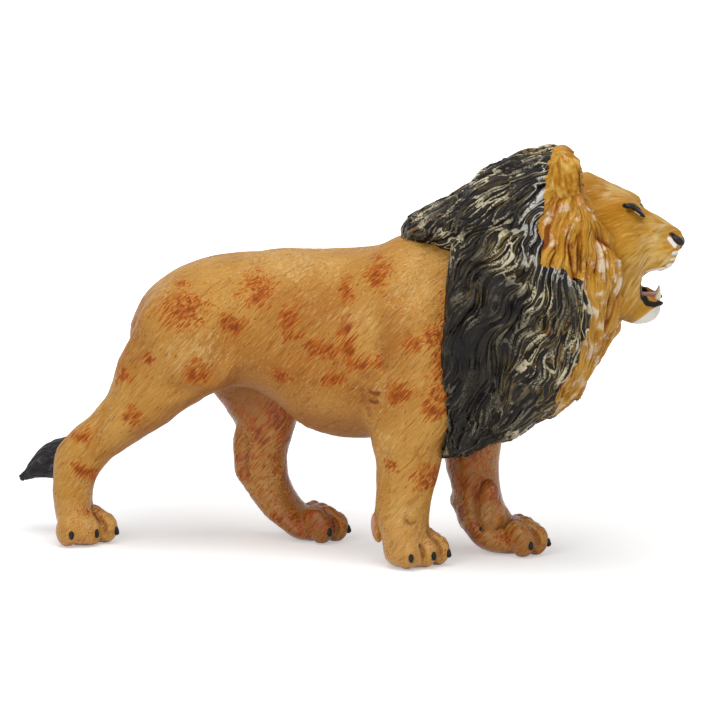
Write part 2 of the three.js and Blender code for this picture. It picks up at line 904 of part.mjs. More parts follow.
function nosePad(amount) {
  const pad = ball(
    noseThickness / 2 + amount, noseWidth / 2 + amount, noseHeight / 2 + amount,
    smallSides, smallRows,
  );
  const [along, across, up] = nosePlaceShares;
  return pad.translate(along * headLength, across * headWidth, up * headHeight);
}

// Tongue: a flat leaf that lies in a bed in the lower jaw
function tongueLeaf(amount) {
  const leaf = ball(
    tongueLength / 2 + amount, tongueWidth / 2 + amount, tongueThickness / 2 + amount,
    smallSides, smallRows,
  );
  return leaf.translate(
    tongueBackShare * headLength + tongueLength / 2, 0, tongueHeightShare * jawHeight,
  );
}

// Lower canines: pointed pegs whose roots stand in the jaw
function canine(side, amount) {
  const root = canineRootShare * canineLength;
  const peg = new THREE.CylinderGeometry(
    canineRadius / 4 + amount, canineRadius + amount, canineLength + amount, smallSides,
  );
  peg.rotateX(Math.PI / 2);
  peg.translate(0, 0, canineLength / 2 - root);
  peg.rotateY(canineLean);
  const lip = jawHeight * jawShares[6][2];
  return peg.translate(
    jawBase.x + caninePlaceShare * jawLength, (side * canineSpread) / 2, lip,
  );
}

const eyeSockets = sides.map((side) => eyeBead(side, clearance));
const earSockets = sides.map((side) => earLeaf(side, clearance));
const canineSockets = sides.map((side) => canine(side, clearance));

// Room for the neck, as it lies in the head's frame
const bodyInHead = new THREE.Matrix4().copy(headFrame).invert();
const neckRoom = moved(grown(torsoSkin, clearance), bodyInHead);

function headSolid() {
  const jawRoom = grown(jawSkin, clearance);
  const fittings = [nosePad(clearance), tongueLeaf(clearance), ...eyeSockets, ...earSockets];
  return cut(headSkin, [neckRoom, jawRoom, ...fittings]);
}

function jawSolid() {
  return cut(jawSkin, [tongueLeaf(clearance), ...canineSockets]);
}

function ruffSolid() {
  const locks = lockTubes(ruffLockShares, ruffShares, ruffSize, ruffBase);
  const golden = common(joined(ruffSkin, locks), goldSpace(0));
  const fittings = [grown(headSkin, clearance), grown(jawSkin, clearance), ...earSockets];
  return cut(golden, [...fittings, neckRoom]);
}

function maneSolid() {
  const locks = lockTubes(maneLockShares, maneShares, maneSize, maneBase);
  const collar = joined(maneSkin, [crestSkin(), ...locks]);
  const frontLegs = legs.filter((leg) => leg.place > hindLeftPlaceShare).map(legCutter);
  const golden = moved(goldSpace(clearance), headFrame);
  const face = [headSkin, jawSkin].map((skin) => moved(grown(skin, clearance), headFrame));
  const neck = grown(torsoSkin, clearance);
  return cut(collar, [maneCore, golden, neck, ...face, ...frontLegs]);
}

// Assembly
const legCutters = legs.map(legCutter);
const stemCutter = grown(stemSkin, clearance).translate(tailRoot.x, tailRoot.y, tailRoot.z);
const torsoOpenings = [...legCutters, stemCutter];

const figure = new THREE.Group();
figure.add(piece(
  'torso_right_shell', cut(torsoShell(-1, torsoOpenings), pinHoles()), coat,
));
figure.add(piece(
  'torso_left_shell', joined(torsoShell(1, torsoOpenings), torsoPins()), coat,
));
legs.forEach((leg) => figure.add(legMesh(leg)));

const tail = new THREE.Group();
tail.position.copy(tailRoot);
tail.add(piece('tail_stem', stemSkin, coat));
tail.add(piece('tail_tuft', tuftSolid(), tuftHair));
figure.add(tail);

figure.add(piece('mane_collar', maneSolid(), darkHair));

const head = new THREE.Group();
head.position.copy(headPlace);
head.rotation.z = headTurn;
head.add(piece('face_ruff', ruffSolid(), goldHair));
head.add(piece('head', headSolid(), goldHair));
head.add(piece('lower_jaw', jawSolid(), goldHair));
head.add(piece('tongue', tongueLeaf(0), tonguePink));
head.add(piece('nose_pad', nosePad(0), noseBlack));
sides.forEach((side) => {
  const hand = side < 0 ? 'right' : 'left';
  head.add(piece(`ear_${hand}`, cut(earLeaf(side, 0), [earCup(side)]), earTan));
  head.add(piece(`eye_${hand}`, eyeBead(side, 0), blackGloss));
  head.add(piece(`lower_canine_${hand}`, canine(side, 0), toothCream));
});
figure.add(head);

// The figure stands on the floor with the middle of its base at the origin
const box = new THREE.Box3().setFromObject(figure, true);
const middle = box.getCenter(new THREE.Vector3());
figure.position.set(-middle.x, -middle.y, -box.min.z);

export default figure;
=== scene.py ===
"""Looks of a moulded and hand painted toy lion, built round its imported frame.

Lengths in this file are millimetres in the figure's own frame: X from the rump towards the head,
Y to the lion's left from the middle plane, Z up from the floor. They become metres only when a
mesh is made.
"""

import math

import bpy
import numpy as np
from bpy.props import FloatProperty, FloatVectorProperty, PointerProperty
from bpy.types import Operator, Panel, PropertyGroup
from mathutils import Matrix, Vector


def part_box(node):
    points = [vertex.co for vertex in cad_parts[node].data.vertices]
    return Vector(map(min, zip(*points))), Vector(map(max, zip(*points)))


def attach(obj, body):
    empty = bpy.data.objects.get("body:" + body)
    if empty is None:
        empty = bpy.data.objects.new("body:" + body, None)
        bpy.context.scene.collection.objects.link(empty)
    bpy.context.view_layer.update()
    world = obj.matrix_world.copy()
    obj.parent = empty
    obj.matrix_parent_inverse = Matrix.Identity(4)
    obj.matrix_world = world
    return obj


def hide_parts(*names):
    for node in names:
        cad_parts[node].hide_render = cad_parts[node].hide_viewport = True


bl_info = {
    "name": "Toy lion figure",
    "version": (1, 0, 0),
    "blender": (4, 5, 0),
    "location": "View3D > Sidebar > Lion",
    "description": "Sculpted and painted pieces of a toy lion on its packed frame",
    "category": "Object",
}

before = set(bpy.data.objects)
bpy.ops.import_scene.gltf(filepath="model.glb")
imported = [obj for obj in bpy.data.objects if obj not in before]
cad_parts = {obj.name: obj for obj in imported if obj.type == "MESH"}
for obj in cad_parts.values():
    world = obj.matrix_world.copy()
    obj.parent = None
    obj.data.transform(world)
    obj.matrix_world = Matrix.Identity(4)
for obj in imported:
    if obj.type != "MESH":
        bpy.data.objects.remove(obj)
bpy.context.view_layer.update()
MM = 0.001
BODY = "root"

# Where the millimetre frame of this file stands in the frame's metres
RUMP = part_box("torso_right_shell")[0].x
SHARE_TOP_OF_FORELEG = 0.8
BODY_LENGTH = (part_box("torso_right_shell")[1].x - RUMP) / MM
SHOULDER_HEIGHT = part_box("front_leg_right")[1].z / MM / SHARE_TOP_OF_FORELEG
BODY_WIDTH = 50.0
FORE_DEPTH = 34.0
FORE_WIDTH = 22.0
THIGH_DEPTH = 40.0
THIGH_WIDTH = 22.0
PAW_SPREAD = 30.0
TAIL_DROP = 49.0
TAIL_REACH = 24.0
TAIL_SWAY = 5.0
TAIL_THICKNESS = 8.4
TUFT_LENGTH = 24.0
TUFT_THICKNESS = 12.0
MANE_SIZE = (64.5, 60.0, 108.0)
CREST_SIZE = (28.0, 44.0, 25.0)
RUFF_SIZE = (36.0, 57.0, 92.0)
HEAD_SIZE = (44.0, 31.0, 52.0)
JAW_SIZE = (28.0, 23.0, 12.5)
HEAD_TURN = math.radians(17)

# Torso stations: place along the body, belly and back as shares of the shoulder height, and
# half width as a share of the body width
TORSO_SHARES = [
    (0, 0.6, 0.67, 0.08), (0.02, 0.54, 0.73, 0.18), (0.05, 0.51, 0.79, 0.27),
    (0.11, 0.49, 0.85, 0.37), (0.2, 0.49, 0.895, 0.43), (0.3, 0.5, 0.915, 0.42),
    (0.37, 0.465, 0.93, 0.42), (0.45, 0.39, 0.935, 0.45), (0.54, 0.365, 0.945, 0.48),
    (0.61, 0.37, 0.96, 0.5), (0.67, 0.375, 0.995, 0.5), (0.74, 0.385, 1.01, 0.47),
    (0.82, 0.4, 1.015, 0.43), (0.9, 0.46, 1.03, 0.37), (0.96, 0.58, 1.03, 0.29),
    (1, 0.72, 0.95, 0.16),
]
TORSO_POWER = 2.33

# Leg stations from the sole up: height as a share of the shoulder height, shift forward and
# depth as shares of the leg's depth, distance out as a share of half the paw spread, and half
# width as a share of the leg's width
FORE_RIGHT_SHARES = [
    (0, 0.07, 0.36, 1, 0.27), (0.03, 0.07, 0.49, 1, 0.43), (0.08, 0.04, 0.49, 1, 0.43),
    (0.14, 0, 0.52, 1, 0.4), (0.19, 0, 0.55, 1, 0.38), (0.25, 0.03, 0.59, 1.02, 0.39),
    (0.32, 0.06, 0.65, 1.02, 0.42), (0.38, 0.06, 0.74, 1.02, 0.46), (0.45, 0.11, 0.88, 1, 0.49),
    (0.54, 0.18, 0.98, 0.97, 0.5), (0.66, 0.21, 0.94, 0.95, 0.47), (0.75, 0.25, 0.76, 0.87, 0.36),
    (0.8, 0.25, 0.47, 0.8, 0.2),
]
FORE_LEFT_SHARES = [
    (0, 0.3, 0.38, 1, 0.27), (0.035, 0.23, 0.53, 1, 0.43), (0.09, 0.12, 0.57, 1, 0.43),
    (0.14, 0.04, 0.51, 1, 0.4), (0.19, 0, 0.48, 1, 0.38), (0.25, -0.04, 0.52, 1.02, 0.39),
    (0.32, -0.06, 0.56, 1.02, 0.42), (0.38, -0.06, 0.6, 1.02, 0.46),
    (0.45, -0.07, 0.71, 1, 0.49), (0.54, -0.11, 0.82, 0.97, 0.5), (0.66, -0.14, 0.82, 0.95, 0.47),
    (0.75, -0.15, 0.71, 0.87, 0.36), (0.8, -0.15, 0.47, 0.8, 0.2),
]
HIND_RIGHT_SHARES = [
    (0, 0.13, 0.27, 1, 0.26), (0.045, 0.09, 0.35, 1, 0.4), (0.1, 0.03, 0.34, 1, 0.36),
    (0.15, 0.01, 0.34, 1, 0.32), (0.21, 0.03, 0.38, 1, 0.31), (0.27, 0.1, 0.49, 1, 0.32),
    (0.31, 0.2, 0.6, 1, 0.34), (0.36, 0.36, 0.67, 1, 0.36), (0.4, 0.51, 0.7, 1, 0.38),
    (0.45, 0.66, 0.77, 0.99, 0.42), (0.49, 0.78, 0.85, 0.96, 0.45), (0.55, 0.92, 0.94, 0.93, 0.47),
    (0.63, 1.02, 0.94, 0.91, 0.48), (0.71, 1.08, 0.84, 0.87, 0.43), (0.79, 1.1, 0.62, 0.8, 0.34),
    (0.84, 1.1, 0.36, 0.7, 0.2),
]
HIND_LEFT_SHARES = [
    (0, 0.41, 0.29, 1, 0.26), (0.03, 0.36, 0.37, 1, 0.4), (0.07, 0.23, 0.44, 1, 0.38),
    (0.12, 0.1, 0.42, 1, 0.35), (0.17, 0.01, 0.43, 1, 0.33), (0.22, -0.03, 0.44, 1, 0.32),
    (0.27, -0.01, 0.41, 1, 0.33), (0.31, 0.01, 0.44, 1, 0.34), (0.36, 0.01, 0.52, 1, 0.37),
    (0.4, -0.02, 0.65, 1, 0.38), (0.45, -0.08, 0.78, 0.99, 0.42), (0.49, -0.15, 0.87, 0.96, 0.45),
    (0.55, -0.24, 0.98, 0.93, 0.47), (0.63, -0.31, 1.02, 0.91, 0.48),
    (0.71, -0.35, 0.93, 0.87, 0.43), (0.79, -0.36, 0.72, 0.8, 0.34), (0.84, -0.35, 0.43, 0.7, 0.2),
]
# Name, stations, side, place along the body, depth and width of each leg
LEGS = [
    ("front_leg_right", FORE_RIGHT_SHARES, -1, 0.71, FORE_DEPTH, FORE_WIDTH),
    ("front_leg_left", FORE_LEFT_SHARES, 1, 0.83, FORE_DEPTH, FORE_WIDTH),
    ("hind_leg_right", HIND_RIGHT_SHARES, -1, -0.12, THIGH_DEPTH, THIGH_WIDTH),
    ("hind_leg_left", HIND_LEFT_SHARES, 1, 0.3, THIGH_DEPTH, THIGH_WIDTH),
]

# Tail path as shares of its reach, sway and drop, with its thickness
TAIL_ROOT_SHARE = 0.7
TAIL_SHARES = [
    (0.35, 0.5, 0.07, 1), (0.26, 0.6, -0.02, 0.95), (0.18, 0.9, -0.19, 0.84),
    (0.05, 1, -0.35, 0.74), (-0.16, 0.9, -0.54, 0.68), (-0.38, 0.6, -0.74, 0.64),
    (-0.54, 0.3, -0.9, 0.62), (-0.75, 0.1, -1.02, 0.6),
]
TUFT_SHARES = [
    (0.05, 0, 0.04, 0.55), (-0.17, 0, -0.07, 0.95), (-0.42, -0.02, -0.17, 1.12),
    (-0.63, -0.02, -0.26, 1.1), (-0.81, -0.03, -0.36, 0.86), (-0.92, -0.03, -0.43, 0.5),
    (-0.98, -0.03, -0.47, 0.2),
]

# Rounding at the ends of the lying and of the standing forms
END_ROUND = 2.0
SOLE_ROUND = 3

# How deep in a fold its dark paint lies; the paint is partly wash and partly painted shade
FOLD_SINK = 0.7

# Cubes of the sculpting grids, the value far outside a form, and what counts as nothing
BODY_STEP = 0.46
MANE_STEP = 0.36
HEAD_STEP = 0.32
FAR = 60.0
TINY = 1e-6

# The figure's sides: the lion's right is the one that the photograph shows
SIDES = ((-1, "right"), (1, "left"))


# Curves and stations


def curve_rows(table, steps=8):
    """Rows of a table on a smooth curve through them, with more rows between."""
    rows = np.array(table, float)
    padded = np.vstack([rows[:1], rows, rows[-1:]])
    smooth = []
    for before, start, end, after in zip(padded, padded[1:], padded[2:], padded[3:]):
        t = np.linspace(0, 1, steps, endpoint=False)[:, None]
        leave = (end - before) / 2
        arrive = (after - start) / 2
        cube = t**3
        square = t**2
        smooth.append(
            start * (2 * cube - 3 * square + 1)
            + leave * (cube - 2 * square + t)
            + end * (3 * square - 2 * cube)
            + arrive * (cube - square)
        )
    return np.vstack(smooth + [rows[-1:]])


def columns_at(table, place):
    """The other columns of a smooth table where its first column has the given places."""
    rows = curve_rows(table)
    rows = rows[np.argsort(rows[:, 0], kind="stable")]
    return [np.interp(place, rows[:, 0], rows[:, k]) for k in range(1, rows.shape[1])]


# Forms: each gives its corners and a function of place that is negative inside


def smooth_min(a, b, radius):
    if radius <= 0:
        return np.minimum(a, b)
    share = np.clip(0.5 + 0.5 * (a - b) / radius, 0, 1)
    return a + (b - a) * share - radius * share * (1 - share)


def smooth_max(a, b, radius):
    return -smooth_min(-a, -b, radius)


def radial(across, up, half_across, half_up, power):
    """Distance to a rounded section, measured along the ray from its middle."""
    u = np.abs(across) / half_across
    v = np.abs(up) / half_up
    reach = (u**power + v**power) ** (1 / power)
    reach = np.maximum(reach, TINY)
    return np.sqrt(across**2 + up**2) * (1 - 1 / reach)


def upright_form(table, size, base, power):
    """A form whose sections stand square to X, from shares of a length, width and height."""
    length, width, height = size
    low = (base[0], base[1] - width, base[2] + height * min(row[1] for row in table))
    high = (base[0] + length, base[1] + width, base[2] + height * max(row[2] for row in table))

    def distance(x, y, z):
        along = (x - base[0]) / length
        bottom, top, half = columns_at(table, along)
        bottom = base[2] + bottom * height
        top = base[2] + top * height
        half_up = np.maximum((top - bottom) / 2, 0.2)
        half_across = np.maximum(half * width, 0.2)
        d = radial(y - base[1], z - (top + bottom) / 2, half_across, half_up, power)
        ends = np.maximum(base[0] - x, x - base[0] - length)
        return smooth_max(d, ends + END_ROUND / 4, END_ROUND)

    return low, high, distance


def level_form(leg):
    """A leg whose sections lie level."""
    _, table, side, place, depth, width = leg
    foot = place * BODY_LENGTH
    top = table[-1][0] * SHOULDER_HEIGHT
    rows = np.array(table)
    reach = depth * (np.abs(rows[:, 1]).max() + rows[:, 2].max() / 2)
    middle = side * PAW_SPREAD / 2
    low = (foot - reach, middle - width, -1)
    high = (foot + reach, middle + width, top)

    def distance(x, y, z):
        up = z / SHOULDER_HEIGHT
        shift, deep, out, half = columns_at(table, up)
        nudge = 1 / SHOULDER_HEIGHT
        slope = (columns_at(table, up + nudge)[0] - columns_at(table, up - nudge)[0]) * depth / 2
        tilt = 1 / np.sqrt(1 + slope**2)
        centre_x = foot + shift * depth
        centre_y = side * out * PAW_SPREAD / 2
        d = tilt * radial(x - centre_x, y - centre_y, deep * depth / 2, half * width, 2)
        ends = np.maximum(-z, z - top)
        return smooth_max(d, ends, SOLE_ROUND)

    return low, high, distance


def egg(centre, radii, pitch=0.0, yaw=0.0):
    """A stretched ball, pitched nose up in the XZ plane and then yawed about Z, in degrees."""
    rise, turn = math.radians(pitch), math.radians(yaw)
    reach = max(radii)
    low = tuple(c - reach for c in centre)
    high = tuple(c + reach for c in centre)

    def distance(x, y, z):
        dx, dy, dz = x - centre[0], y - centre[1], z - centre[2]
        ahead = dx * math.cos(turn) + dy * math.sin(turn)
        left = dy * math.cos(turn) - dx * math.sin(turn)
        along = ahead * math.cos(rise) + dz * math.sin(rise)
        up = dz * math.cos(rise) - ahead * math.sin(rise)
        scaled = (along / radii[0]) ** 2 + (left / radii[1]) ** 2 + (up / radii[2]) ** 2
        scaled = np.sqrt(np.maximum(scaled, TINY))
        return np.sqrt(along**2 + left**2 + up**2) * (1 - 1 / scaled)

    return low, high, distance


def path_distance(points, x, y, z):
    """Distance to a bent line, and the share along it of the nearest point."""
    points = np.array(points, float)
    best = None
    lengths = np.linalg.norm(np.diff(points, axis=0), axis=1)
    total = lengths.sum()
    done = 0.0
    for a, b, length in zip(points, points[1:], lengths):
        ab = b - a
        t = ((x - a[0]) * ab[0] + (y - a[1]) * ab[1] + (z - a[2]) * ab[2]) / max(length**2, TINY)
        t = np.clip(t, 0, 1)
        away = (x - a[0] - t * ab[0]) ** 2 + (y - a[1] - t * ab[1]) ** 2
        away = away + (z - a[2] - t * ab[2]) ** 2
        share = (done + t * length) / total
        if best is None:
            best, where = away, share
        else:
            nearer = away < best
            best = np.where(nearer, away, best)
            where = np.where(nearer, share, where)
        done += length
    return np.sqrt(best), where


def cord_form(points, radii):
    """A round bar through points, whose radius follows the given ones."""
    points = np.array(points, float)
    reach = max(radii)
    low = tuple(points.min(0) - reach)
    high = tuple(points.max(0) + reach)
    stops = np.linspace(0, 1, len(radii))

    def distance(x, y, z):
        away, share = path_distance(points, x, y, z)
        return away - np.interp(share, stops, radii)

    return low, high, distance


class Sculpt:
    """Signed distance to a form on a grid of small cubes: negative inside."""

    def __init__(self, low, high, step):
        self.step = step
        self.axes = [np.arange(a, b + step, step, dtype=np.float32) for a, b in zip(low, high)]
        self.value = np.full([len(axis) for axis in self.axes], FAR, np.float32)
        self.folds = []

    def window(self, low, high, margin):
        cuts = []
        for axis, a, b in zip(self.axes, low, high):
            first = max(int(np.searchsorted(axis, a - margin)), 0)
            last = int(np.searchsorted(axis, b + margin))
            cuts.append(slice(first, last))
        x, y, z = (axis[cut].astype(float) for axis, cut in zip(self.axes, cuts))
        return tuple(cuts), (x[:, None, None], y[None, :, None], z[None, None, :])

    def add(self, form, blend=0.0, way=1):
        """Joins a form to the sculpt, or cuts it out where way is -1."""
        low, high, distance = form
        cuts, place = self.window(low, high, blend + 3 * self.step)
        self.value[cuts] = way * smooth_min(way * self.value[cuts], distance(*place), blend)

    def carve(self, form, blend=0.0):
        self.add(form, blend, -1)

    def stroke(self, points, width, height):
        """A soft ridge along a bent line, or a groove where its height is below zero."""
        spots = np.array(points, float)
        cuts, place = self.window(spots.min(0), spots.max(0), 3 * width)
        away, share = path_distance(points, *place)
        fade = np.clip(np.minimum(share, 1 - share) * 5, 0, 1)
        self.value[cuts] -= height * fade * np.exp(-((away / width) ** 2))

    def skin_beside(self, x, y, z, way):
        """The place where the skin is reached from an inner spot, going right or left."""
        i, j, k = (int(np.searchsorted(axis, at)) for axis, at in zip(self.axes, (x, y, z)))
        column = self.value[i, :, k]
        while 0 < j < len(column) - 1 and column[j] < 0:
            j += way
        return float(self.axes[1][j])

    def fold(self, spots, start, way, width, depth, dark):
        """A groove through the given places along and up, laid on the skin, with its dark paint:
        partly wash, partly painted shade.
        """
        points = [(x, self.skin_beside(x, start, z, way), z) for x, z in spots]
        self.stroke(points, width, -depth)
        sunk = [(x, y - way * FOLD_SINK * depth, z) for x, y, z in points]
        self.folds.append((sunk, width, dark))

    def crease(self, points, width, depth, spread, dark):
        """A groove along a bent line, with the width and the strength of its dark paint, partly wash
        and partly painted shade.
        """
        self.stroke(points, width, -depth)
        self.folds.append((points, spread, dark))


def add_eggs(sculpt, rows, side=1, spot=(0, 0, 0)):
    """Adds eggs by their place, radii, pitch, yaw and blend; a blend below zero carves."""
    for x, y, z, long, wide, tall, pitch, yaw, blend in rows:
        centre = (spot[0] + x, spot[1] + side * y, spot[2] + z)
        form = egg(centre, (long, wide, tall), pitch, side * yaw)
        sculpt.add(form, abs(blend), -1 if blend < 0 else 1)


def add_strokes(sculpt, rows, side=1, spot=(0, 0, 0)):
    """Draws ridges by their points, width and height; a height below zero cuts a groove."""
    for points, width, height in rows:
        places = [(spot[0] + x, spot[1] + side * y, spot[2] + z) for x, y, z in points]
        sculpt.stroke(places, width, height)


def cubes(fine):
    return fine


# Skins: a net of four sided faces where a sculpt's value crosses zero

CORNERS = np.array([(i, j, k) for i in (0, 1) for j in (0, 1) for k in (0, 1)])
EDGES = [(a, b) for a in range(8) for b in range(a, 8) if abs(CORNERS[a] - CORNERS[b]).sum() == 1]


def net_of(sculpt):
    """Vertices and faces of a sculpt's zero surface, with the faces turned outwards."""
    value = sculpt.value
    inside = value < 0
    count = np.zeros([n - 1 for n in value.shape], np.int8)
    for i, j, k in CORNERS:
        ni, nj, nk = count.shape
        count += inside[i : ni + i, j : nj + j, k : nk + k]
    active = (count > 0) & (count < 8)
    cells = np.argwhere(active)
    number = np.full(count.shape, -1, np.int32)
    number[active] = np.arange(len(cells))
    corner_values = np.stack([value[tuple((cells + c).T)] for c in CORNERS], axis=1)
    spot = np.zeros((len(cells), 3))
    crossings = np.zeros(len(cells))
    for a, b in EDGES:
        va, vb = corner_values[:, a], corner_values[:, b]
        crossed = (va < 0) != (vb < 0)
        t = np.where(crossed, va / np.where(crossed, va - vb, 1), 0)
        spot += crossed[:, None] * (CORNERS[a] + t[:, None] * (CORNERS[b] - CORNERS[a]))
        crossings += crossed
    low = np.array([axis[0] for axis in sculpt.axes])
    vertices = low + sculpt.step * (cells + spot / crossings[:, None])
    faces = [faces_across(inside, number, axis) for axis in range(3)]
    return vertices, np.vstack(faces)


def faces_across(inside, number, axis):
    """The faces that cross the grid lines along one axis."""
    first = np.moveaxis(inside, axis, 0)
    cell = np.moveaxis(number, axis, 0)
    if axis == 1:
        first = first.swapaxes(1, 2)
        cell = cell.swapaxes(1, 2)
    change = first[:-1, 1:-1, 1:-1] != first[1:, 1:-1, 1:-1]
    where = np.argwhere(change)
    out = first[:-1, 1:-1, 1:-1][change]
    i, j, k = where.T
    ring = [cell[i, j, k], cell[i, j + 1, k], cell[i, j + 1, k + 1], cell[i, j, k + 1]]
    ring = np.stack(ring, axis=1)
    return np.where(out[:, None], ring, ring[:, ::-1])


def edges_round(faces):
    """The edges of four sided faces, each in its face's direction."""
    return np.vstack([faces[:, [k, (k + 1) % 4]] for k in range(4)])


class Skin:
    """A net of faces with the attributes painted on its vertices."""

    def __init__(self, vertices, faces):
        self.vertices = vertices
        self.faces = faces
        self.marks = {}
        self.links = edges_round(faces)
        self.degree = np.maximum(np.bincount(self.links.ravel(), minlength=len(vertices)), 1)

    def normals(self):
        a, b, c, d = (self.vertices[self.faces[:, k]] for k in range(4))
        flat = np.cross(c - a, d - b)
        total = np.zeros_like(self.vertices)
        for corner in range(4):
            for axis in range(3):
                total[:, axis] += np.bincount(
                    self.faces[:, corner], flat[:, axis], minlength=len(self.vertices)
                )
        length = np.linalg.norm(total, axis=1, keepdims=True)
        return total / np.maximum(length, TINY)

    def spread(self, values, rounds=1):
        """Values averaged with their neighbours', some rounds long."""
        result = np.array(values, float)
        flat = result.reshape(len(result), -1)
        size = len(flat)
        a, b = self.links.T
        for _ in range(rounds):
            total = np.zeros_like(flat)
            for column in range(flat.shape[1]):
                total[:, column] = np.bincount(a, flat[b, column], minlength=size)
                total[:, column] += np.bincount(b, flat[a, column], minlength=size)
            flat = 0.5 * flat + 0.5 * total / self.degree[:, None]
        return flat.reshape(result.shape)

    def relax(self, rounds):
        """Evens out the net without shrinking it much."""
        for _ in range(rounds):
            self.vertices = self.vertices + 0.6 * (self.spread(self.vertices) - self.vertices)
            self.vertices = self.vertices - 0.62 * (self.spread(self.vertices) - self.vertices)

    def push(self, amount):
        self.vertices = self.vertices + self.normals() * np.asarray(amount)[:, None]

    def hollows(self, rounds):
        """How far each vertex lies in a hollow, against its neighbourhood, in millimetres."""
        around = self.spread(self.vertices, rounds)
        return ((around - self.vertices) * self.normals()).sum(1)


def skin_of(sculpt, rounds=2):
    skin = Skin(*net_of(sculpt))
    skin.relax(rounds)
    return skin


# Hair: noise that is combed along the way the hair lies

NOISE_CELLS = 64


def noise_table(seed):
    return np.random.default_rng(seed).random((NOISE_CELLS,) * 3).astype(np.float32)


def noise_at(points, table):
    """Smooth noise between 0 and 1 at each point."""
    base = np.floor(points)
    x, y, z = (t * t * (3 - 2 * t) for t in (points - base).astype(np.float32).T)
    cell = base.astype(np.int32) % NOISE_CELLS
    (i0, j0, k0), (i1, j1, k1) = cell.T, ((cell + 1) % NOISE_CELLS).T
    grid = table.ravel()
    rows = []
    for i in (i0, i1):
        for j in (j0, j1):
            start = (i * NOISE_CELLS + j) * NOISE_CELLS
            first = grid[start + k0]
            rows.append(first + (grid[start + k1] - first) * z)
    near = rows[0] + (rows[1] - rows[0]) * y
    far = rows[2] + (rows[3] - rows[2]) * y
    return near + (far - near) * x


class Walk:
    """Places along the hair, ahead of each point and behind it, a stride apart."""

    def __init__(self, points, lie, reach, stride):
        self.points = points.astype(np.float32)
        self.stride = stride
        self.pairs = []
        ahead = behind = self.points
        for _ in range(int(reach / stride)):
            ahead = (ahead + stride * lie(ahead)).astype(np.float32)
            behind = (behind - stride * lie(behind)).astype(np.float32)
            self.pairs.append((ahead, behind))

    def combed(self, grain, reach, seed):
        """Noise of the given grain, drawn out along the hair, at unit spread."""
        table = noise_table(seed)
        total = noise_at(self.points / grain, table)
        skip = max(int(0.75 * grain / self.stride), 1)
        last = int(reach / self.stride)
        for step in range(skip - 1, last, skip):
            for place in self.pairs[step]:
                total = total + noise_at(place / grain, table) * (1 - 0.7 * step / last)
        total = total - total.mean()
        return total / total.std()


def along_skin(direction, normals):
    """Directions turned to run along the skin, at unit length."""
    flat = direction - (direction * normals).sum(1, keepdims=True) * normals
    return flat / np.maximum(np.linalg.norm(flat, axis=1, keepdims=True), 0.2)


def ramp(value, start, end):
    """0 before start, 1 after end, and a soft change between."""
    t = np.clip((value - start) / (end - start), 0, 1)
    return t * t * (3 - 2 * t)


# Body: torso, legs and tail stem, sculpted as one skin and then parted into its pieces

# Foremost toe tip of each paw, then how far back each toe stands and how far out, from the
# outer toe to the inner one
TOE_TIPS = {"front_leg_right": 116.4, "front_leg_left": 143.9,
            "hind_leg_right": -1.7, "hind_leg_left": 72.9}
TOE_BACK = {"front": (8.6, 3.0, 0.0, 3.4), "hind": (11.2, 4.8, 0.0, 3.8)}
TOE_OUT_SHARES = (1.5, 0.5, -0.5, -1.5)
TOE_YAWS = (30, 12, 0, -16)
TOE_GAP = 5.2
# The pad at a toe's tip: how far back and aside its middle stands, and its radii
PAD_BACK = 4.4
PAD_ASIDE = 3.0
PAD_RADII = (4.5, 3.25, 5.4)
# How far the heel stands behind the foremost tip, and its length
HEELS = {"front": (15.0, 5.2), "hind": (12.6, 4.4)}

# Eggs on the smooth body: place, radii, pitch, yaw and blend; those of a foreleg stand from
# its shoulder or its foot
SHOULDER_LEANS = {-1: 0.16, 1: -0.1}
SHOULDER_EGGS = [
    (2, 17, 76, 12.5, 8, 20, 12, 0, 4), (1, 17.5, 62, 12, 7.2, 11, -20, 0, 4),
    (-9.5, 17, 57, 5, 5, 6.5, -20, 0, 3),
]
FORELEG_EGGS = [(0.5, 16, 42, 7.6, 5.4, 13, 4, 0, 3), (-1, 15, 17, 8.2, 5.2, 4.5, 0, 0, 2.5)]
RUMP_EGGS = [(17, 12, 75, 8, 8, 12, 14, 0, 3.5), (19.5, 10.5, 87, 10, 6, 5, 8, 0, 3.5)]
THIGH_EGGS = {
    -1: [(24, 16.5, 73.5, 17, 8.6, 18.5, 24, 0, 4), (33, 16.5, 64.5, 8.5, 6.8, 7.5, 20, 0, 3)],
    1: [(29, 16.5, 73.5, 17, 8.6, 18.5, 6, 0, 4), (38, 16.5, 64.5, 8.5, 6.8, 7.5, 20, 0, 3)],
}
SHANK_EGGS = {
    -1: [(11, 16.2, 52.5, 15, 5.6, 8, 42, 0, 4), (7.4, 15, 63.5, 6.6, 6, 12, -26, 0, 6)],
    1: [(39, 16, 47, 9.5, 5.8, 12, 16, 0, 4), (35.4, 13.6, 24.5, 3, 4.4, 6.2, 6, 0, 1.6),
        (34.6, 13.6, 33, 2.6, 4, 8, -6, 0, 1.6)],
}
HEEL_CORDS = [
    ([(-4.5, 18, 52), (-9.5, 18.4, 42), (-11.5, 18.4, 30)], 1.5, 0.2),
    ([(-12.5, 17.6, 24), (-10.5, 18, 14)], 1.6, 0.6),
]
BACK_GROOVES = [
    ([(20, 0, 99), (60, 0, 103), (95, 0, 108)], 2.4, -0.5),
    ([(60, -17.5, 97), (84, -18.5, 98)], 5.0, -0.5),
]
# Wrist pads behind the forelegs and dewclaw lobes inside them
WRIST_EGGS = [
    (91.8, -15.6, 12.6, 1.9, 2.5, 5.2, 8, 0, 0.6), (113.4, 14.6, 11, 1.9, 2.4, 4.2, 8, 0, 0.8),
    (125.2, 7.6, 14.6, 4.6, 3.6, 6.2, -10, 0, 0.4), (124.2, 8.2, 20.5, 3.4, 3.2, 6, -8, 0, 0.8),
    (103, -8, 15.5, 3.8, 3.4, 7.4, -8, 0, 0.5),
]
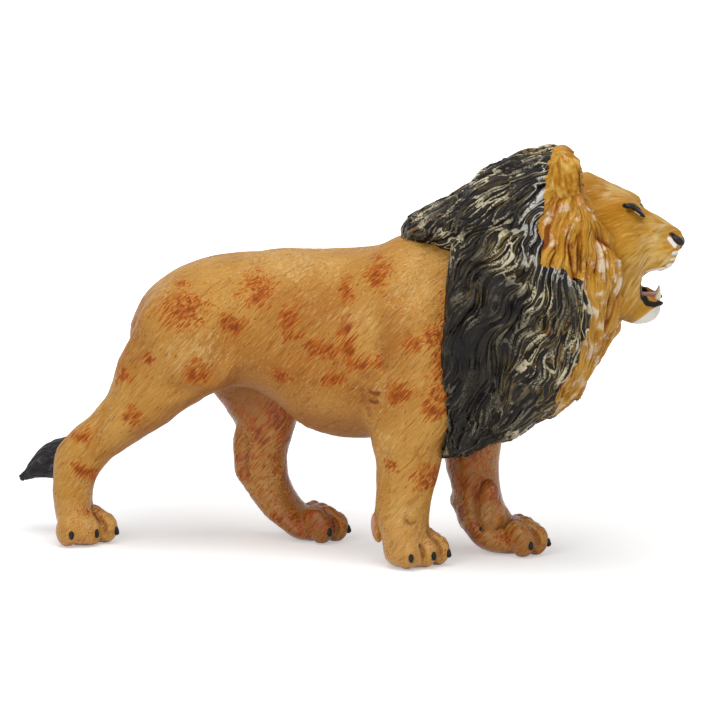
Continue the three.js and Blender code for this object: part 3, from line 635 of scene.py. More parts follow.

# Folds on both sides: 1 where they stand further ahead on the far side, places along and up,
# how far out the search for the skin starts, width, depth and paint, a dark paint that is partly wash
# and partly painted shade
FAR_AHEAD = 12
BOTH_FOLDS = [
    (1, [(97.4, 90), (96.4, 80), (96.6, 74)], 8, 2.6, 1.5, 0.3),
    (1, [(96, 78), (97, 72.5), (96.8, 67.5)], 8, 2.0, 1.3, 0.45),
    (1, [(95.5, 68.5), (91, 66), (86.5, 66.5)], 8, 1.3, 0.7, 0.35),
    (1, [(88.5, 64.5), (89.6, 56), (92, 50)], 8, 1.3, 0.7, 0.45),
    (1, [(91, 61.4), (93.5, 60.7), (96, 61.3)], 10, 0.66, 1.4, 1.5),
    (1, [(91, 58.2), (93.1, 57.5), (95.2, 58.1)], 10, 0.66, 1.4, 1.5),
    (0, [(41.5, 84), (40.5, 74), (37, 66), (32, 59.5)], 8, 3.4, 1.9, 0.25),
    (0, [(113, 105), (107, 97), (102, 90)], 8, 3.4, 1.3, 0.15),
    (0, [(48, 88), (58, 78), (70, 71), (84, 68)], 8, 3.6, 0.8, 0.15),
    (0, [(18, 60), (24, 57.5), (30, 57.5)], 12, 2.2, 0.5, 0.2),
]
# Folds seen from the near side, on the leg whose middle is given
LEG_FOLDS = [
    ([(-1.5, 50.5), (-5.5, 42), (-7.8, 33), (-8, 27.5)], -15, 1.8, 1.0, 0.25),
    ([(-5.5, 47.5), (-10, 39.5), (-12.2, 33)], -15, 1.2, 0.5, 0.15),
    ([(-8, 20), (-9.5, 14), (-8.5, 9)], -15, 1.2, 0.6, 0.45),
    ([(38.1, 38), (37.6, 30), (37.2, 24.5), (39.4, 19.4)], 15, 1.5, 1.3, 0.45),
    ([(103.5, 18.5), (105.5, 16), (108, 17)], -15, 0.8, 0.8, 0.6),
    ([(96.6, 46), (97.2, 34), (97.6, 22)], -15, 1.8, 0.5, 0.2),
]
WRIST_FOLDS = [
    ([(119.4, 25), (119.6, 18), (120.4, 11.5), (123.6, 8)], 15, 1.2, 1.1, 0.45),
    ([(128.4, 25), (130.4, 18), (130, 11.5), (126.6, 7.6)], 15, 1.2, 1.1, 0.45),
]


def torso_form():
    size = (BODY_LENGTH, BODY_WIDTH, SHOULDER_HEIGHT)
    return upright_form(TORSO_SHARES, size, (0, 0, 0), TORSO_POWER)


def leg_middle(leg):
    return leg[2] * PAW_SPREAD / 2


def leg_kind(leg):
    return leg[0].split("_")[0]


def toe_places(leg):
    """Tip of each toe with its yaw, from the outer toe to the inner one."""
    name, side = leg[0], leg[2]
    places = []
    for back, out, yaw in zip(TOE_BACK[leg_kind(leg)], TOE_OUT_SHARES, TOE_YAWS):
        places.append((TOE_TIPS[name] - back, leg_middle(leg) + side * out * TOE_GAP, side * yaw))
    return places


def sculpt_paw(body, leg):
    """Heel, four toes with their knuckles, and the creases between and behind them."""
    side = leg[2]
    tip = TOE_TIPS[leg[0]]
    middle = leg_middle(leg)
    heel_back, heel_length = HEELS[leg_kind(leg)]
    body.add(egg((tip - 11.5, middle, 6.2), (6.2, 7.2, 6.2), -22), 1.8)
    body.add(egg((tip - heel_back, middle, 4.2), (heel_length, 6.2, 4.4)), 1.4)
    toes = toe_places(leg)
    for (x, y, yaw), back in zip(toes, TOE_BACK[leg_kind(leg)]):
        turn = math.radians(yaw)
        c, s = math.cos(turn), math.sin(turn)
        short = 1 - 0.032 * back
        knuckle = (x - 7.6 * short * c, y - 5.0 * s, 7.3)
        body.add(egg(knuckle, (5.4 * short, 2.9, 5.2), -16, yaw), 0.4)
        body.add(egg((x - PAD_BACK * c, y - PAD_ASIDE * s, 5.5), PAD_RADII, -6, yaw), 0.3)
        sole = [(x - 3.0 * c, y - 3.0 * s + side * 3.2, 1.0), (x - 6.4 * c, y + side * 2.6, 1.2)]
        body.stroke(sole, 1.0, -0.5)
    for (xa, ya, _), (xb, yb, _) in zip(toes, toes[1:]):
        x, y = (xa + xb) / 2, (ya + yb) / 2
        line = [(x - 0.6, y, 1.5), (x - 1.2, y, 7.0), (x - 5.6, y, 11.8), (x - 10.6, y, 13.6)]
        body.crease(line, 0.8, 1.5, 1.2, 0.55)
    for toe, away in ((toes[0], side), (toes[-1], -side)):
        x, y = toe[0] - 8.8, toe[1] + away
        line = [(x, y + away * 0.3, 1.5), (x - 0.5, y, 7), (x + 1.4, y - away, 12)]
        body.crease(line, 0.9, 0.6, 1.1, 0.3)
    behind = [(tip - 9.6, middle + side * 6, 14.0), (tip - 10.6, middle, 14.6),
              (tip - 9.6, middle - side * 6, 14.0)]
    body.crease(behind, 1.3, 0.6, 1.3, 0.3)


def sculpt_legs(body):
    """Muscles and bones of the legs."""
    for leg in LEGS[:2]:
        side = leg[2]
        foot = leg[3] * BODY_LENGTH
        add_eggs(body, SHOULDER_EGGS, side, (foot + SHOULDER_LEANS[side] * leg[4], 0, 0))
        add_eggs(body, FORELEG_EGGS, side, (foot, 0, 0))
    for side, _ in SIDES:
        add_eggs(body, THIGH_EGGS[side] + RUMP_EGGS + SHANK_EGGS[side], side)
    add_strokes(body, HEEL_CORDS, -1)


def sculpt_folds(body):
    """Folds of the skin over the torso and the legs."""
    for side, _ in SIDES:
        for ahead, spots, inner, *groove in BOTH_FOLDS:
            shift = ahead * max(side, 0) * FAR_AHEAD
            moved = [(x + shift, z) for x, z in spots]
            body.fold(moved, side * inner, side, *groove)
    for spots, inner, *groove in LEG_FOLDS:
        body.fold(spots, inner, -1, *groove)
    add_strokes(body, BACK_GROOVES)


def tail_points():
    rows = curve_rows(TAIL_SHARES, 4)
    scale = np.array([TAIL_REACH, TAIL_SWAY, TAIL_DROP])
    points = rows[:, :3] * scale + np.array([0, 0, TAIL_ROOT_SHARE * SHOULDER_HEIGHT])
    return points, rows[:, 3] * TAIL_THICKNESS / 2


def sculpted_body(step):
    body = Sculpt((-34, -29, -2), (BODY_LENGTH + 5, 29, 119), step)
    body.add(torso_form())
    for leg in LEGS:
        body.add(level_form(leg), 5.0)
    sculpt_legs(body)
    body.add(cord_form(*tail_points()), 2.5)
    sculpt_folds(body)
    for leg in LEGS:
        sculpt_paw(body, leg)
    add_eggs(body, WRIST_EGGS)
    for spots, inner, *groove in WRIST_FOLDS:
        body.fold(spots, inner, -1, *groove)
    below = -body.axes[2][None, None, :]
    body.value = smooth_max(body.value, below, 1.0).astype(np.float32)
    return body


# How much nearer than the torso a leg has to be to a spot of the skin to own it
LEG_MARGIN = 0.6


def body_labels(spots):
    """Which piece each spot of the body's skin belongs to."""
    x, y, z = spots.T
    forms = [torso_form()] + [level_form(leg) for leg in LEGS] + [cord_form(*tail_points())]
    away = np.stack([form[2](x, y, z) for form in forms])
    away[1:5] += LEG_MARGIN
    names = np.array(["torso_right_shell", *(leg[0] for leg in LEGS), "tail_stem"])
    labels = names[away.argmin(0)]
    labels[(labels == "torso_right_shell") & (y >= 0)] = "torso_left_shell"
    return labels


# Meshes from skins


def loose_ends(faces):
    """Directed edges of a patch that no other face of it shares."""
    pairs = edges_round(faces).astype(np.int64)
    size = faces.max() + 1
    forward = pairs[:, 0] * size + pairs[:, 1]
    backward = pairs[:, 1] * size + pairs[:, 0]
    return pairs[~np.isin(forward, backward)]


def rims(faces):
    """Closed loops round the open edges of a patch."""
    follow = {}
    for a, b in loose_ends(faces):
        follow.setdefault(int(a), []).append(int(b))
    loops = []
    while follow:
        start = next(iter(follow))
        loop = [start]
        here = start
        while here in follow:
            after = follow[here].pop()
            if not follow[here]:
                del follow[here]
            here = after
            if here == start:
                break
            loop.append(here)
        loops.append(loop)
    return loops


def mesh_from(name, vertices, faces, caps, marks):
    """A closed mesh of four sided faces and cap triangles, in metres, with smooth shading."""
    mesh = bpy.data.meshes.new(name)
    mesh.vertices.add(len(vertices))
    world = np.array(vertices) * MM + np.array([RUMP, 0, 0])
    mesh.vertices.foreach_set("co", world.astype(np.float32).ravel())
    corners = np.concatenate([faces.ravel(), np.array(caps, np.int64).ravel()]).astype(np.int32)
    starts = np.concatenate([
        np.arange(len(faces)) * 4, len(faces) * 4 + np.arange(len(caps)) * 3
    ]).astype(np.int32)
    mesh.loops.add(len(corners))
    mesh.loops.foreach_set("vertex_index", corners)
    mesh.polygons.add(len(starts))
    mesh.polygons.foreach_set("loop_start", starts)
    mesh.update(calc_edges=True)
    mesh.polygons.foreach_set("use_smooth", np.ones(len(starts), bool))
    for mark, values in marks.items():
        kind = "FLOAT" if values.ndim == 1 else "FLOAT_VECTOR"
        layer = mesh.attributes.new(mark, kind, "POINT")
        field = "value" if values.ndim == 1 else "vector"
        layer.data.foreach_set(field, values.astype(np.float32).ravel())
    mesh.validate()
    return mesh


def sharpen_rims(mesh, rim_edges):
    """Marks the edges between the skin and its caps, so that the caps don't bend its shading."""
    edges = np.zeros(len(mesh.edges) * 2, np.int32)
    mesh.edges.foreach_get("vertices", edges)
    edges = np.sort(edges.reshape(-1, 2).astype(np.int64), axis=1)
    size = len(mesh.vertices) + 1
    keys = edges[:, 0] * size + edges[:, 1]
    rim = np.sort(np.array(rim_edges, np.int64).reshape(-1, 2), axis=1)
    sharp = np.isin(keys, rim[:, 0] * size + rim[:, 1])
    layer = mesh.attributes.new("sharp_edge", "BOOLEAN", "EDGE")
    layer.data.foreach_set("value", sharp)


def patch_mesh(name, skin, chosen=slice(None)):
    """The chosen faces of a skin, or all, as a closed mesh, with each open loop capped."""
    faces = skin.faces[chosen]
    used, flat = np.unique(faces, return_inverse=True)
    faces = flat.reshape(-1, 4)
    vertices = list(skin.vertices[used])
    marks = {mark: values[used] for mark, values in skin.marks.items()}
    caps, rim_edges, middles = [], [], []
    for loop in rims(faces):
        middle = len(used) + len(middles)
        middles.append(loop[0])
        vertices.append(np.mean([skin.vertices[used[v]] for v in loop], axis=0))
        for a, b in zip(loop, loop[1:] + loop[:1]):
            caps.append((b, a, middle))
            rim_edges.append((a, b))
    for mark in marks:
        marks[mark] = np.concatenate([marks[mark], marks[mark][middles]])
    mesh = mesh_from(name, np.array(vertices), faces, np.array(caps).reshape(-1, 3), marks)
    if rim_edges:
        sharpen_rims(mesh, rim_edges)
    return mesh


def shown(name, mesh, material, nodes):
    """A finished piece that rides on the figure in place of its CAD nodes."""
    piece = linked(name, mesh)
    mesh.materials.clear()
    mesh.materials.append(material)
    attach(piece, BODY)
    if nodes:
        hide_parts(*nodes)


# Paint: a material's tree written with Python's own operators


def shade(red, green, blue):
    """A display colour, 0 to 255, as the linear colour that Blender mixes."""
    return tuple((value / 255) ** 2.2 for value in (red, green, blue)) + (1.0,)


class Wire:
    """A socket of a node tree: Python's operators on it add Math nodes."""

    def __init__(self, owner, socket):
        self.owner = owner
        self.socket = socket

    def work(self, operation, *values):
        return self.owner.node("ShaderNodeMath", {"operation": operation}, list(values))

    def __add__(self, other):
        return self.work("ADD", self, other)

    def __sub__(self, other):
        return self.work("SUBTRACT", self, other)

    def __rsub__(self, other):
        return self.work("SUBTRACT", other, self)

    def __mul__(self, other):
        return self.work("MULTIPLY", self, other)

    __radd__ = __add__
    __rmul__ = __mul__

    def larger(self, other):
        return self.work("MAXIMUM", self, other)

    def sine(self):
        return self.work("SINE", self)

    def between(self, start, end):
        """0 at the start, 1 at the end, and a soft change between them."""
        ends = {"Value": self, "From Min": start, "From Max": end}
        return self.owner.node("ShaderNodeMapRange", {"interpolation_type": "SMOOTHSTEP"}, ends)


class Tree:
    """A node tree of any kind, with one way to add its nodes."""

    def __init__(self, tree):
        self.tree = tree

    def node(self, kind, settings, values, output=0):
        """Adds a node: settings first, then the values or wires of its sockets."""
        node = self.tree.nodes.new(kind)
        for setting, value in settings.items():
            setattr(node, setting, value)
        for socket, value in values.items() if isinstance(values, dict) else enumerate(values):
            self.feed(node.inputs[socket], value)
        return Wire(self, node.outputs[output])

    def feed(self, socket, value):
        if isinstance(value, Wire):
            self.tree.links.new(value.socket, socket)
        else:
            socket.default_value = value

    def seen_directly(self):
        """1 for what the camera, a gloss or a clear piece sees, 0 for the light on the object."""
        camera = self.node("ShaderNodeLightPath", {}, {}, "Is Camera Ray")
        rays = camera.socket.node.outputs
        gloss, clear = Wire(self, rays["Is Glossy Ray"]), Wire(self, rays["Is Transmission Ray"])
        return camera.larger(gloss).larger(clear)


# Sockets of a Mix node for colours: its share, its two colours and its result
MIX_SHARE, MIX_FIRST, MIX_SECOND, MIX_RESULT = 0, 6, 7, 2


class Paint(Tree):
    """One finish: its material, its shader and the place of each spot in millimetres."""

    def __init__(self, name, roughness, specular=0.5, coat=0.0):
        self.material = bpy.data.materials.new(name)
        self.material.use_nodes = True
        super().__init__(self.material.node_tree)
        self.shader = self.tree.nodes["Principled BSDF"]
        self.put("Roughness", roughness)
        self.put("Specular IOR Level", specular)
        self.put("Coat Weight", coat)
        self.put("Coat Roughness", 0.25)
        values = {0: self.node("ShaderNodeTexCoord", {}, {}, "Object"), "Scale": 1 / MM}
        self.place = self.node("ShaderNodeVectorMath", {"operation": "SCALE"}, values)

    def put(self, socket, value):
        """Gives the shader's socket a value or a wire."""
        self.feed(self.shader.inputs[socket], value)

    def mark(self, name):
        """A value that was painted on the mesh."""
        return self.node("ShaderNodeAttribute", {"attribute_name": name}, {}, "Fac")

    def marks(self, names):
        return [self.mark(name) for name in names.split()]

    def mixed(self, share, first, second):
        first, second = (c if isinstance(c, Wire) else tuple(c) for c in (first, second))
        values = {MIX_SHARE: share, MIX_FIRST: first, MIX_SECOND: second}
        return self.node("ShaderNodeMix", {"data_type": "RGBA"}, values, MIX_RESULT)

    def layered(self, colour, *layers):
        """A colour under layers, each given by its share and its own colour."""
        for share, over in layers:
            colour = self.mixed(share, colour, over)
        return colour

    def mottled(self, size, low, high, first, second):
        """A first colour with soft blotches of a second one."""
        return self.mixed(self.blotches(size).between(low, high), first, second)

    def blotches(self, size, detail=2.0, rough=0.5, place=None):
        """Noise from 0 to 1 whose blotches are about the given size."""
        values = {"Vector": place or self.place, "Scale": 1 / size, "Detail": detail,
                  "Roughness": rough}
        return self.node("ShaderNodeTexNoise", {}, values)

    def strokes(self, lie, width, length, detail=1.0):
        """Noise drawn out along the lie of the hair."""
        run = Vector(lie).normalized()
        side = Vector((0, 1, 0))
        across = run.cross(side).normalized()
        shares = []
        for axis, size in ((run, length), (across, width), (side, width)):
            values = {0: self.place, 1: tuple(axis / size)}
            dot = {"operation": "DOT_PRODUCT"}
            shares.append(self.node("ShaderNodeVectorMath", dot, values, "Value"))
        turned = self.node("ShaderNodeCombineXYZ", {}, shares)
        return self.blotches(1.0, detail, 0.6, turned)

    def finish(self, colour, roughness=None, height=None, depth=0.0002):
        self.put("Base Color", colour)
        if roughness is not None:
            self.put("Roughness", roughness)
        if height is not None:
            values = {"Height": height, "Distance": depth}
            self.put("Normal", self.node("ShaderNodeBump", {}, values))
        return self.material


HAIR_LIE = (-0.64, 0.0, -0.72)


def coat_paint(look):
    """Tan coat: fine hair strokes, rust patches made of many strokes, dark flecks, pale strokes that
    are partly painted highlight, and painted shade low down and in the folds.
    """
    paint = Paint("coat", 0.42, 0.16)
    fine, rust, pale, gloss = paint.marks("fine rust pale gloss")
    paint.put("Coat Weight", gloss * 0.3)
    lines = paint.strokes(HAIR_LIE, 0.5, 5.0)
    streaks = paint.strokes(HAIR_LIE, 0.8, 6.5)
    dashes = paint.strokes(HAIR_LIE, 0.5, 2.0, 0.0)
    ragged = paint.blotches(2.6)
    brushed = pale * 0.17 + streaks * 0.6 + lines * 0.4
    glaze = rust * 0.7 + ragged * 0.9 - 0.6
    rusty = rust * 0.25 + streaks * 0.32 + lines * 0.42 + ragged * 0.2
    ground = paint.blotches(16.0, 3.0).between(0.36, 0.68)
    colour = paint.layered(
        paint.mixed(ground, look.coat_tan, look.coat_light),
        (paint.mark("warm") * 0.8, look.coat_warm),
        (streaks.between(0.56, 0.74) * 0.3, shade(210, 164, 96)),
        (lines.between(0.54, 0.64) * 0.22, shade(150, 92, 32)),
        (lines.between(0.44, 0.34) * 0.26, shade(222, 180, 112)),
        (fine.between(-0.8, -1.8) * 0.35, shade(136, 80, 30)),
        # Painted shade on the lower, inner and far parts, partly ruddier paint
        (paint.mark("low") * 0.62, look.coat_ruddy_shade),
        # Pale strokes, partly dry-brushed paint and partly painted highlight
        (brushed.between(0.62, 0.74) * 0.5, look.coat_pale_highlight),
        (glaze.between(0.2, 0.6) * 0.4, look.rust_glaze),
        (rusty.between(0.635, 0.67) * 0.85, look.rust),
        (rusty.between(0.705, 0.755) * 0.7, shade(116, 50, 8)),
        (dashes.between(0.74, 0.8) * 0.7, shade(124, 58, 18)),
        # Painted shade in hollows and folds, partly brown wash
        (paint.mark("hollow").between(0.1, 0.8) * 0.85, look.fold_wash_and_shade),
        # Painted shade at the soles
        (paint.mark("dark") * 0.9, shade(84, 44, 20)),
        (paint.mark("pink"), shade(204, 148, 130)),
    )
    roughness = 0.5 - 0.14 * lines - 0.2 * gloss
    return paint.finish(colour, roughness, lines * 0.6 + streaks * 0.4, 0.0006)


# Stage

AZIMUTH = math.radians(17)
ELEVATION = math.radians(12)
VIEW_WIDTH = 244.8
FILM_WIDTH = 36.0
CLIP_END = 50.0
# Middle of the view: a place on the lion's middle plane, then how far right and up from it
VIEW_PLACE = (77.5, 0, 0)
VIEW_RIGHT = 3.4
VIEW_UP = 65.1
# The figure at the origin, aimed at by each lamp: name, place, height of its aim and size, in
# metres, and the setting of its power
LAMPS = [
    ("lamp_above", (0.1, -0.25, 1.3), 0.05, 1.1, "top_lamp"),
    ("lamp_front", (-0.35, -1.5, 0.75), 0.07, 1.2, "front_lamp"),
    ("lamp_side", (1.4, -0.6, 0.6), 0.07, 0.8, "side_lamp"),
]
FLOOR_WHITE_FROM = 120.0
FLOOR_WHITE_TO = 420.0


def linked(name, data):
    """A new object in the scene."""
    thing = bpy.data.objects.new(name, data)
    bpy.context.scene.collection.objects.link(thing)
    return thing


def place_camera(settings):
    """The photograph's view: from the lion's right, a little ahead and a little from above."""
    c, s = math.cos(AZIMUTH), math.sin(AZIMUTH)
    e, f = math.cos(ELEVATION), math.sin(ELEVATION)
    right = Vector((c, s, 0))
    up = Vector((-s * f, c * f, e))
    back = right.cross(up)
    target = Vector(VIEW_PLACE) + VIEW_RIGHT * right + VIEW_UP * up
    data = bpy.data.cameras.new("photo_view")
    data.sensor_width = FILM_WIDTH
    data.lens = FILM_WIDTH * settings.view_distance / (VIEW_WIDTH * MM)
    data.clip_end = CLIP_END
    camera = linked("photo_view", data)
    turn = Matrix((right, up, back)).transposed().to_4x4()
    spot = target * MM + Vector((RUMP, 0, 0)) + back * settings.view_distance
    camera.matrix_world = Matrix.Translation(spot) @ turn
    bpy.context.scene.camera = camera


def soft_lamp(name, spot, aim, size, power):
    data = bpy.data.lights.new(name, "AREA")
    data.shape = "DISK"
    data.size = size
    data.energy = power
    lamp = linked(name, data)
    towards = Vector(aim) - Vector(spot)
    turn = towards.to_track_quat("-Z", "Y").to_matrix().to_4x4()
    lamp.matrix_world = Matrix.Translation(spot) @ turn
    lamp.visible_camera = False


def light_room(settings):
    world = bpy.data.worlds.new("studio")
    world.use_nodes = True
    bpy.context.scene.world = world
    tree = Tree(world.node_tree)
    background = world.node_tree.nodes["Background"]
    tree.feed(background.inputs["Color"], (1, 1, 1, 1))
    ends = {"Value": tree.seen_directly(), "To Min": settings.room_light}
    tree.feed(background.inputs["Strength"], tree.node("ShaderNodeMapRange", {}, ends))
    for name, spot, aim, size, power in LAMPS:
        soft_lamp(name, spot, (0, 0, aim), size, getattr(settings, power))


def lay_floor(settings):
    """A pale floor that keeps the soft shadow under the figure and turns white around it."""
    mesh = bpy.data.meshes.new("floor")
    half = settings.floor_half_width
    corners = [(-half, -half, 0), (half, -half, 0), (half, half, 0), (-half, half, 0)]
    mesh.from_pydata(corners, [], [(0, 1, 2, 3)])
    floor = linked("floor", mesh)
    paint = Paint("floor", 0.9, 0.1)
    paint.put("Base Color", (0.9, 0.9, 0.9, 1))
    reach = paint.node("ShaderNodeVectorMath", {"operation": "LENGTH"}, [paint.place], "Value")
    far = reach.between(FLOOR_WHITE_FROM, FLOOR_WHITE_TO)
    plain = far * (1 - settings.floor_glow) + settings.floor_glow
    glow = paint.mixed(paint.seen_directly() * plain, (0, 0, 0, 1), (1, 1, 1, 1))
    paint.put("Emission Color", glow)
    paint.put("Emission Strength", settings.floor_white)
    mesh.materials.append(paint.material)


# Paint marks on the body's skin

# Rust patches: place along the body, height, half width and half height
RUST_PATCHES = [
    (25.6, 86, 7.5, 5.9), (43, 79.8, 4.6, 5.2), (50.5, 92, 6, 5), (8, 48, 3.5, 2.8),
    (13, 68, 2.5, 2.1), (-10.5, 26.5, 3.5, 2.8), (-11.5, 38.5, 5.3, 2.8), (21.5, 94, 2.8, 1.7),
    (63.5, 83, 4.6, 5.2), (74.5, 75, 6.4, 4.2), (82, 93.5, 3.5, 4.2), (83.5, 78, 3.5, 6.3),
    (87, 71, 7.5, 2.8), (95.5, 71, 1.8, 2.8), (78.5, 65, 4.3, 2.8), (102, 61.5, 5.3, 4.2),
    (107, 79.5, 3.5, 2.8), (114.5, 83, 4.3, 4.9), (115, 55, 3.2, 3.5), (112, 33.5, 5.3, 4.2),
    (100.5, 36, 2.8, 2.4), (93, 100, 4, 4), (60, 66, 4, 3), (30, 64, 3, 4), (2, 62, 3, 3),
]
# Pale patches where light falls on the thigh, shoulder and back: partly dry-brushed paint, partly
# painted highlight
PALE_HIGHLIGHT_PATCHES = [
    (106, 96, 8, 10), (28, 72, 11, 9), (97, 62, 6, 6), (60, 101, 20, 5), (15, 90, 8, 6),
    (101, 20, 5, 6), (85, 86, 8, 6), (-6, 45, 4, 6), (112, 10, 6, 3), (-6, 9, 6, 3), (98, 44, 5, 9),
    (116, 17, 4, 5), (42, 22, 5, 6), (-9, 20, 3, 9),
]
WARM_PATCHES = [
    (62, 68, 26, 11), (4, 74, 9, 14), (70, 88, 16, 8), (100, 78, 6, 14), (88, 60, 12, 8),
    (34, 62, 14, 5),
]
# How much larger than its patch the rust is drawn, and how far the patches lie ahead on the
# far side, so that the two sides differ
RUST_SPREAD = 1.25
FAR_SIDE_SHIFT = 7.0
# How far the edges of the patches wander
WANDER = 5.0
# Wrist pads behind the forelegs, and their radii
WRIST_PADS = ((90.2, -15.6, 13.4), (110.6, 15.4, 11.6))
WRIST_PAD_RADII = (2.4, 3.2, 5.2)


def patches(x, z, table):
    total = np.zeros(len(x))
    for along, up, half, tall in table:
        away = ((x - along) / half) ** 2 + ((z - up) / tall) ** 2
        total = np.maximum(total, np.exp(-0.7 * away))
    return total


def near_spot(places, spot, radii):
    """Squared distance to a spot as a share of its radii: 1 on the edge of its egg."""
    return sum(((at - middle) / reach) ** 2 for at, middle, reach in zip(places, spot, radii))


def fold_paint(vertices, folds):
    """How much of the folds' dark paint each vertex takes: partly brown wash, partly painted shade."""
    total = np.zeros(len(vertices))
    for points, width, dark in folds:
        reach = 3 * width
        low = np.min(points, axis=0) - reach
        high = np.max(points, axis=0) + reach
        close = np.flatnonzero(((vertices > low) & (vertices < high)).all(1))
        away, share = path_distance(points, *vertices[close].T)
        fade = np.clip(np.minimum(share, 1 - share) * 6, 0.25, 1)
        total[close] = np.maximum(total[close], dark * fade * np.exp(-((away / width) ** 2)))
    return total


def paint_body(skin, folds):
    x, y, z = skin.vertices.T
    marks = skin.marks
    normals = skin.normals()
    tables = [noise_table(seed) for seed in (11, 12)]
    wander = [noise_at(skin.vertices / 7, table) - 0.5 for table in tables]
    px = x - np.where(y < 0, 0.0, FAR_SIDE_SHIFT) + WANDER * wander[0]
    pz = z + WANDER * wander[1]
    spread = np.array(RUST_PATCHES) * (1, 1, RUST_SPREAD, RUST_SPREAD)
    mane_edge = ramp(x - 0.15 * (z - 70), 105, 117) * ramp(z, 45, 60)
    far = ramp(y, 1, 7) * ramp(60 - z, 0, 16)
    paws = ramp(20 - z, 0, 9)
    rust = np.maximum(patches(px, pz, spread), 0.85 * mane_edge)
    # The far legs take more rust: partly their ruddier paint, partly painted shade of the far side
    rust = np.maximum(rust, far * (0.55 + 1.5 * np.abs(wander[0])))
    marks["rust"] = np.maximum(rust, 0.6 * paws * (1 - far) * (0.4 + 2 * np.abs(wander[1])))
    # Painted shade in the hollows and folds, partly the brown wash of the paint
    folded = fold_paint(skin.vertices, folds)
    marks["hollow"] = np.maximum(ramp(skin.hollows(7), 0.03, 0.2), folded)
    marks["pale"] = patches(px, pz, PALE_HIGHLIGHT_PATCHES)
    marks["warm"] = patches(px, pz, WARM_PATCHES)
    # Painted shade through the low mark: the belly, faces turned downwards, the legs' inner sides and
    # the far legs are darkened, the far legs partly with ruddier paint
    belly = ramp(56 - z, 0, 12) * (x > 50) * (x < 92)
    under = ramp(-normals[:, 2], 0.1, 0.9) * ramp(z, 20, 40) + 0.5 * belly
    inner = ramp(9 - np.abs(y), 0, 6) * ramp(62 - z, 0, 16)
    high = np.where(x > 90, ramp(z, 14, 26), ramp(z, 36, 52))
    shaded = 0.6 * far * (0.3 + 0.7 * high)
    marks["low"] = np.clip(under + 0.85 * inner + shaded, 0, 1)
    marks["gloss"] = np.clip(far + paws + 0.15, 0, 1)
    # Painted shade at the soles, within 1.4 mm of the floor
    marks["dark"] = ramp(1.4 - z, 0, 1.0)
    pad = np.zeros(len(x))
    for spot in WRIST_PADS:
        away = near_spot((x, y, z), spot, WRIST_PAD_RADII)
        pad = np.maximum(pad, ramp(1.15 - away, 0, 0.5) * ramp(spot[0] + 2.2 - x, 0, 0.6))
    marks["pink"] = pad * (y < 0)


def hair_on_body(skin, depth):
    """Fine hair lines all over, calmer towards the soles."""
    lie = along_skin(np.array(HAIR_LIE), skin.normals())
    walk = Walk(skin.vertices, lambda place: lie, 4.0, 0.6)
    fine = walk.combed(0.75, 3.0, 21)
    long = walk.combed(1.4, 4.0, 22)
    calm = 0.35 + 0.65 * ramp(skin.vertices[:, 2], 4, 16)
    skin.push(depth * (fine + np.minimum(long, 0.6)) * calm)
    skin.marks["fine"] = fine


def make_body(look):
    body = sculpted_body(cubes(look.grain / MM))
    skin = skin_of(body)
    paint_body(skin, body.folds)
    hair_on_body(skin, look.hair_depth / MM)
    skin.vertices[:, 2] = np.maximum(skin.vertices[:, 2], 0)
    labels = body_labels(skin.vertices[skin.faces].mean(1))
    material = coat_paint(look)
    for node in ("torso_right_shell", "torso_left_shell", *(leg[0] for leg in LEGS), "tail_stem"):
        name = node + "_skin"
        shown(name, patch_mesh(name, skin, labels == node), material, [node])


# Claws: one sculpted claw set on every toe by Geometry Nodes

CLAW_EGGS = [(0, 0, 0.1, 0.95, 0.92, 1.5, 0, 0, 0), (0.3, 0, -0.7, 0.95, 0.6, 0.8, 20, 0, 0.5)]
# How high a claw stands, how far it turns on each toe, and its place in the toe's pad as a share
CLAW_HEIGHT = 4.8
CLAW_YAWS = (36, 26, 14, -28)
CLAW_SINK = 0.96
# Dewclaws: place, yaw in degrees and size
DEWCLAWS = [((122.4, 4.6, 9.8), -80, 0.5), ((100.6, -5.2, 10.4), 80, 0.5)]


def claw_places():
    """The place, the turn and the size of each claw, on the front of its toe."""
    long, wide, _ = PAD_RADII
    places = []
    for leg in LEGS:
        for (x, y, yaw), more in zip(toe_places(leg), CLAW_YAWS):
            turn = math.radians(yaw)
            more = math.radians(leg[2] * more)
            apart = math.atan2(wide * math.tan(more), long)
            ahead = CLAW_SINK * long * math.cos(apart)
            across = CLAW_SINK * wide * math.sin(apart)
            c, s = math.cos(turn), math.sin(turn)
            along = x - PAD_BACK * c + ahead * c - across * s
            aside = y - PAD_ASIDE * s + ahead * s + across * c
            places.append(((along, aside, CLAW_HEIGHT), turn + more, 1.0))
    return places + [(spot, math.radians(yaw), size) for spot, yaw, size in DEWCLAWS]


def claw_form():
    """A claw: an upright black oval with a blunt hooked tip."""
    sculpt = Sculpt((-2.6, -2, -3), (2.6, 2, 3), cubes(0.2))
    add_eggs(sculpt, CLAW_EGGS)
    skin = skin_of(sculpt, 1)
    centred = skin.vertices - np.array([RUMP / MM, 0, 0])
    return linked("claw", mesh_from("claw", centred, skin.faces, [], {}))


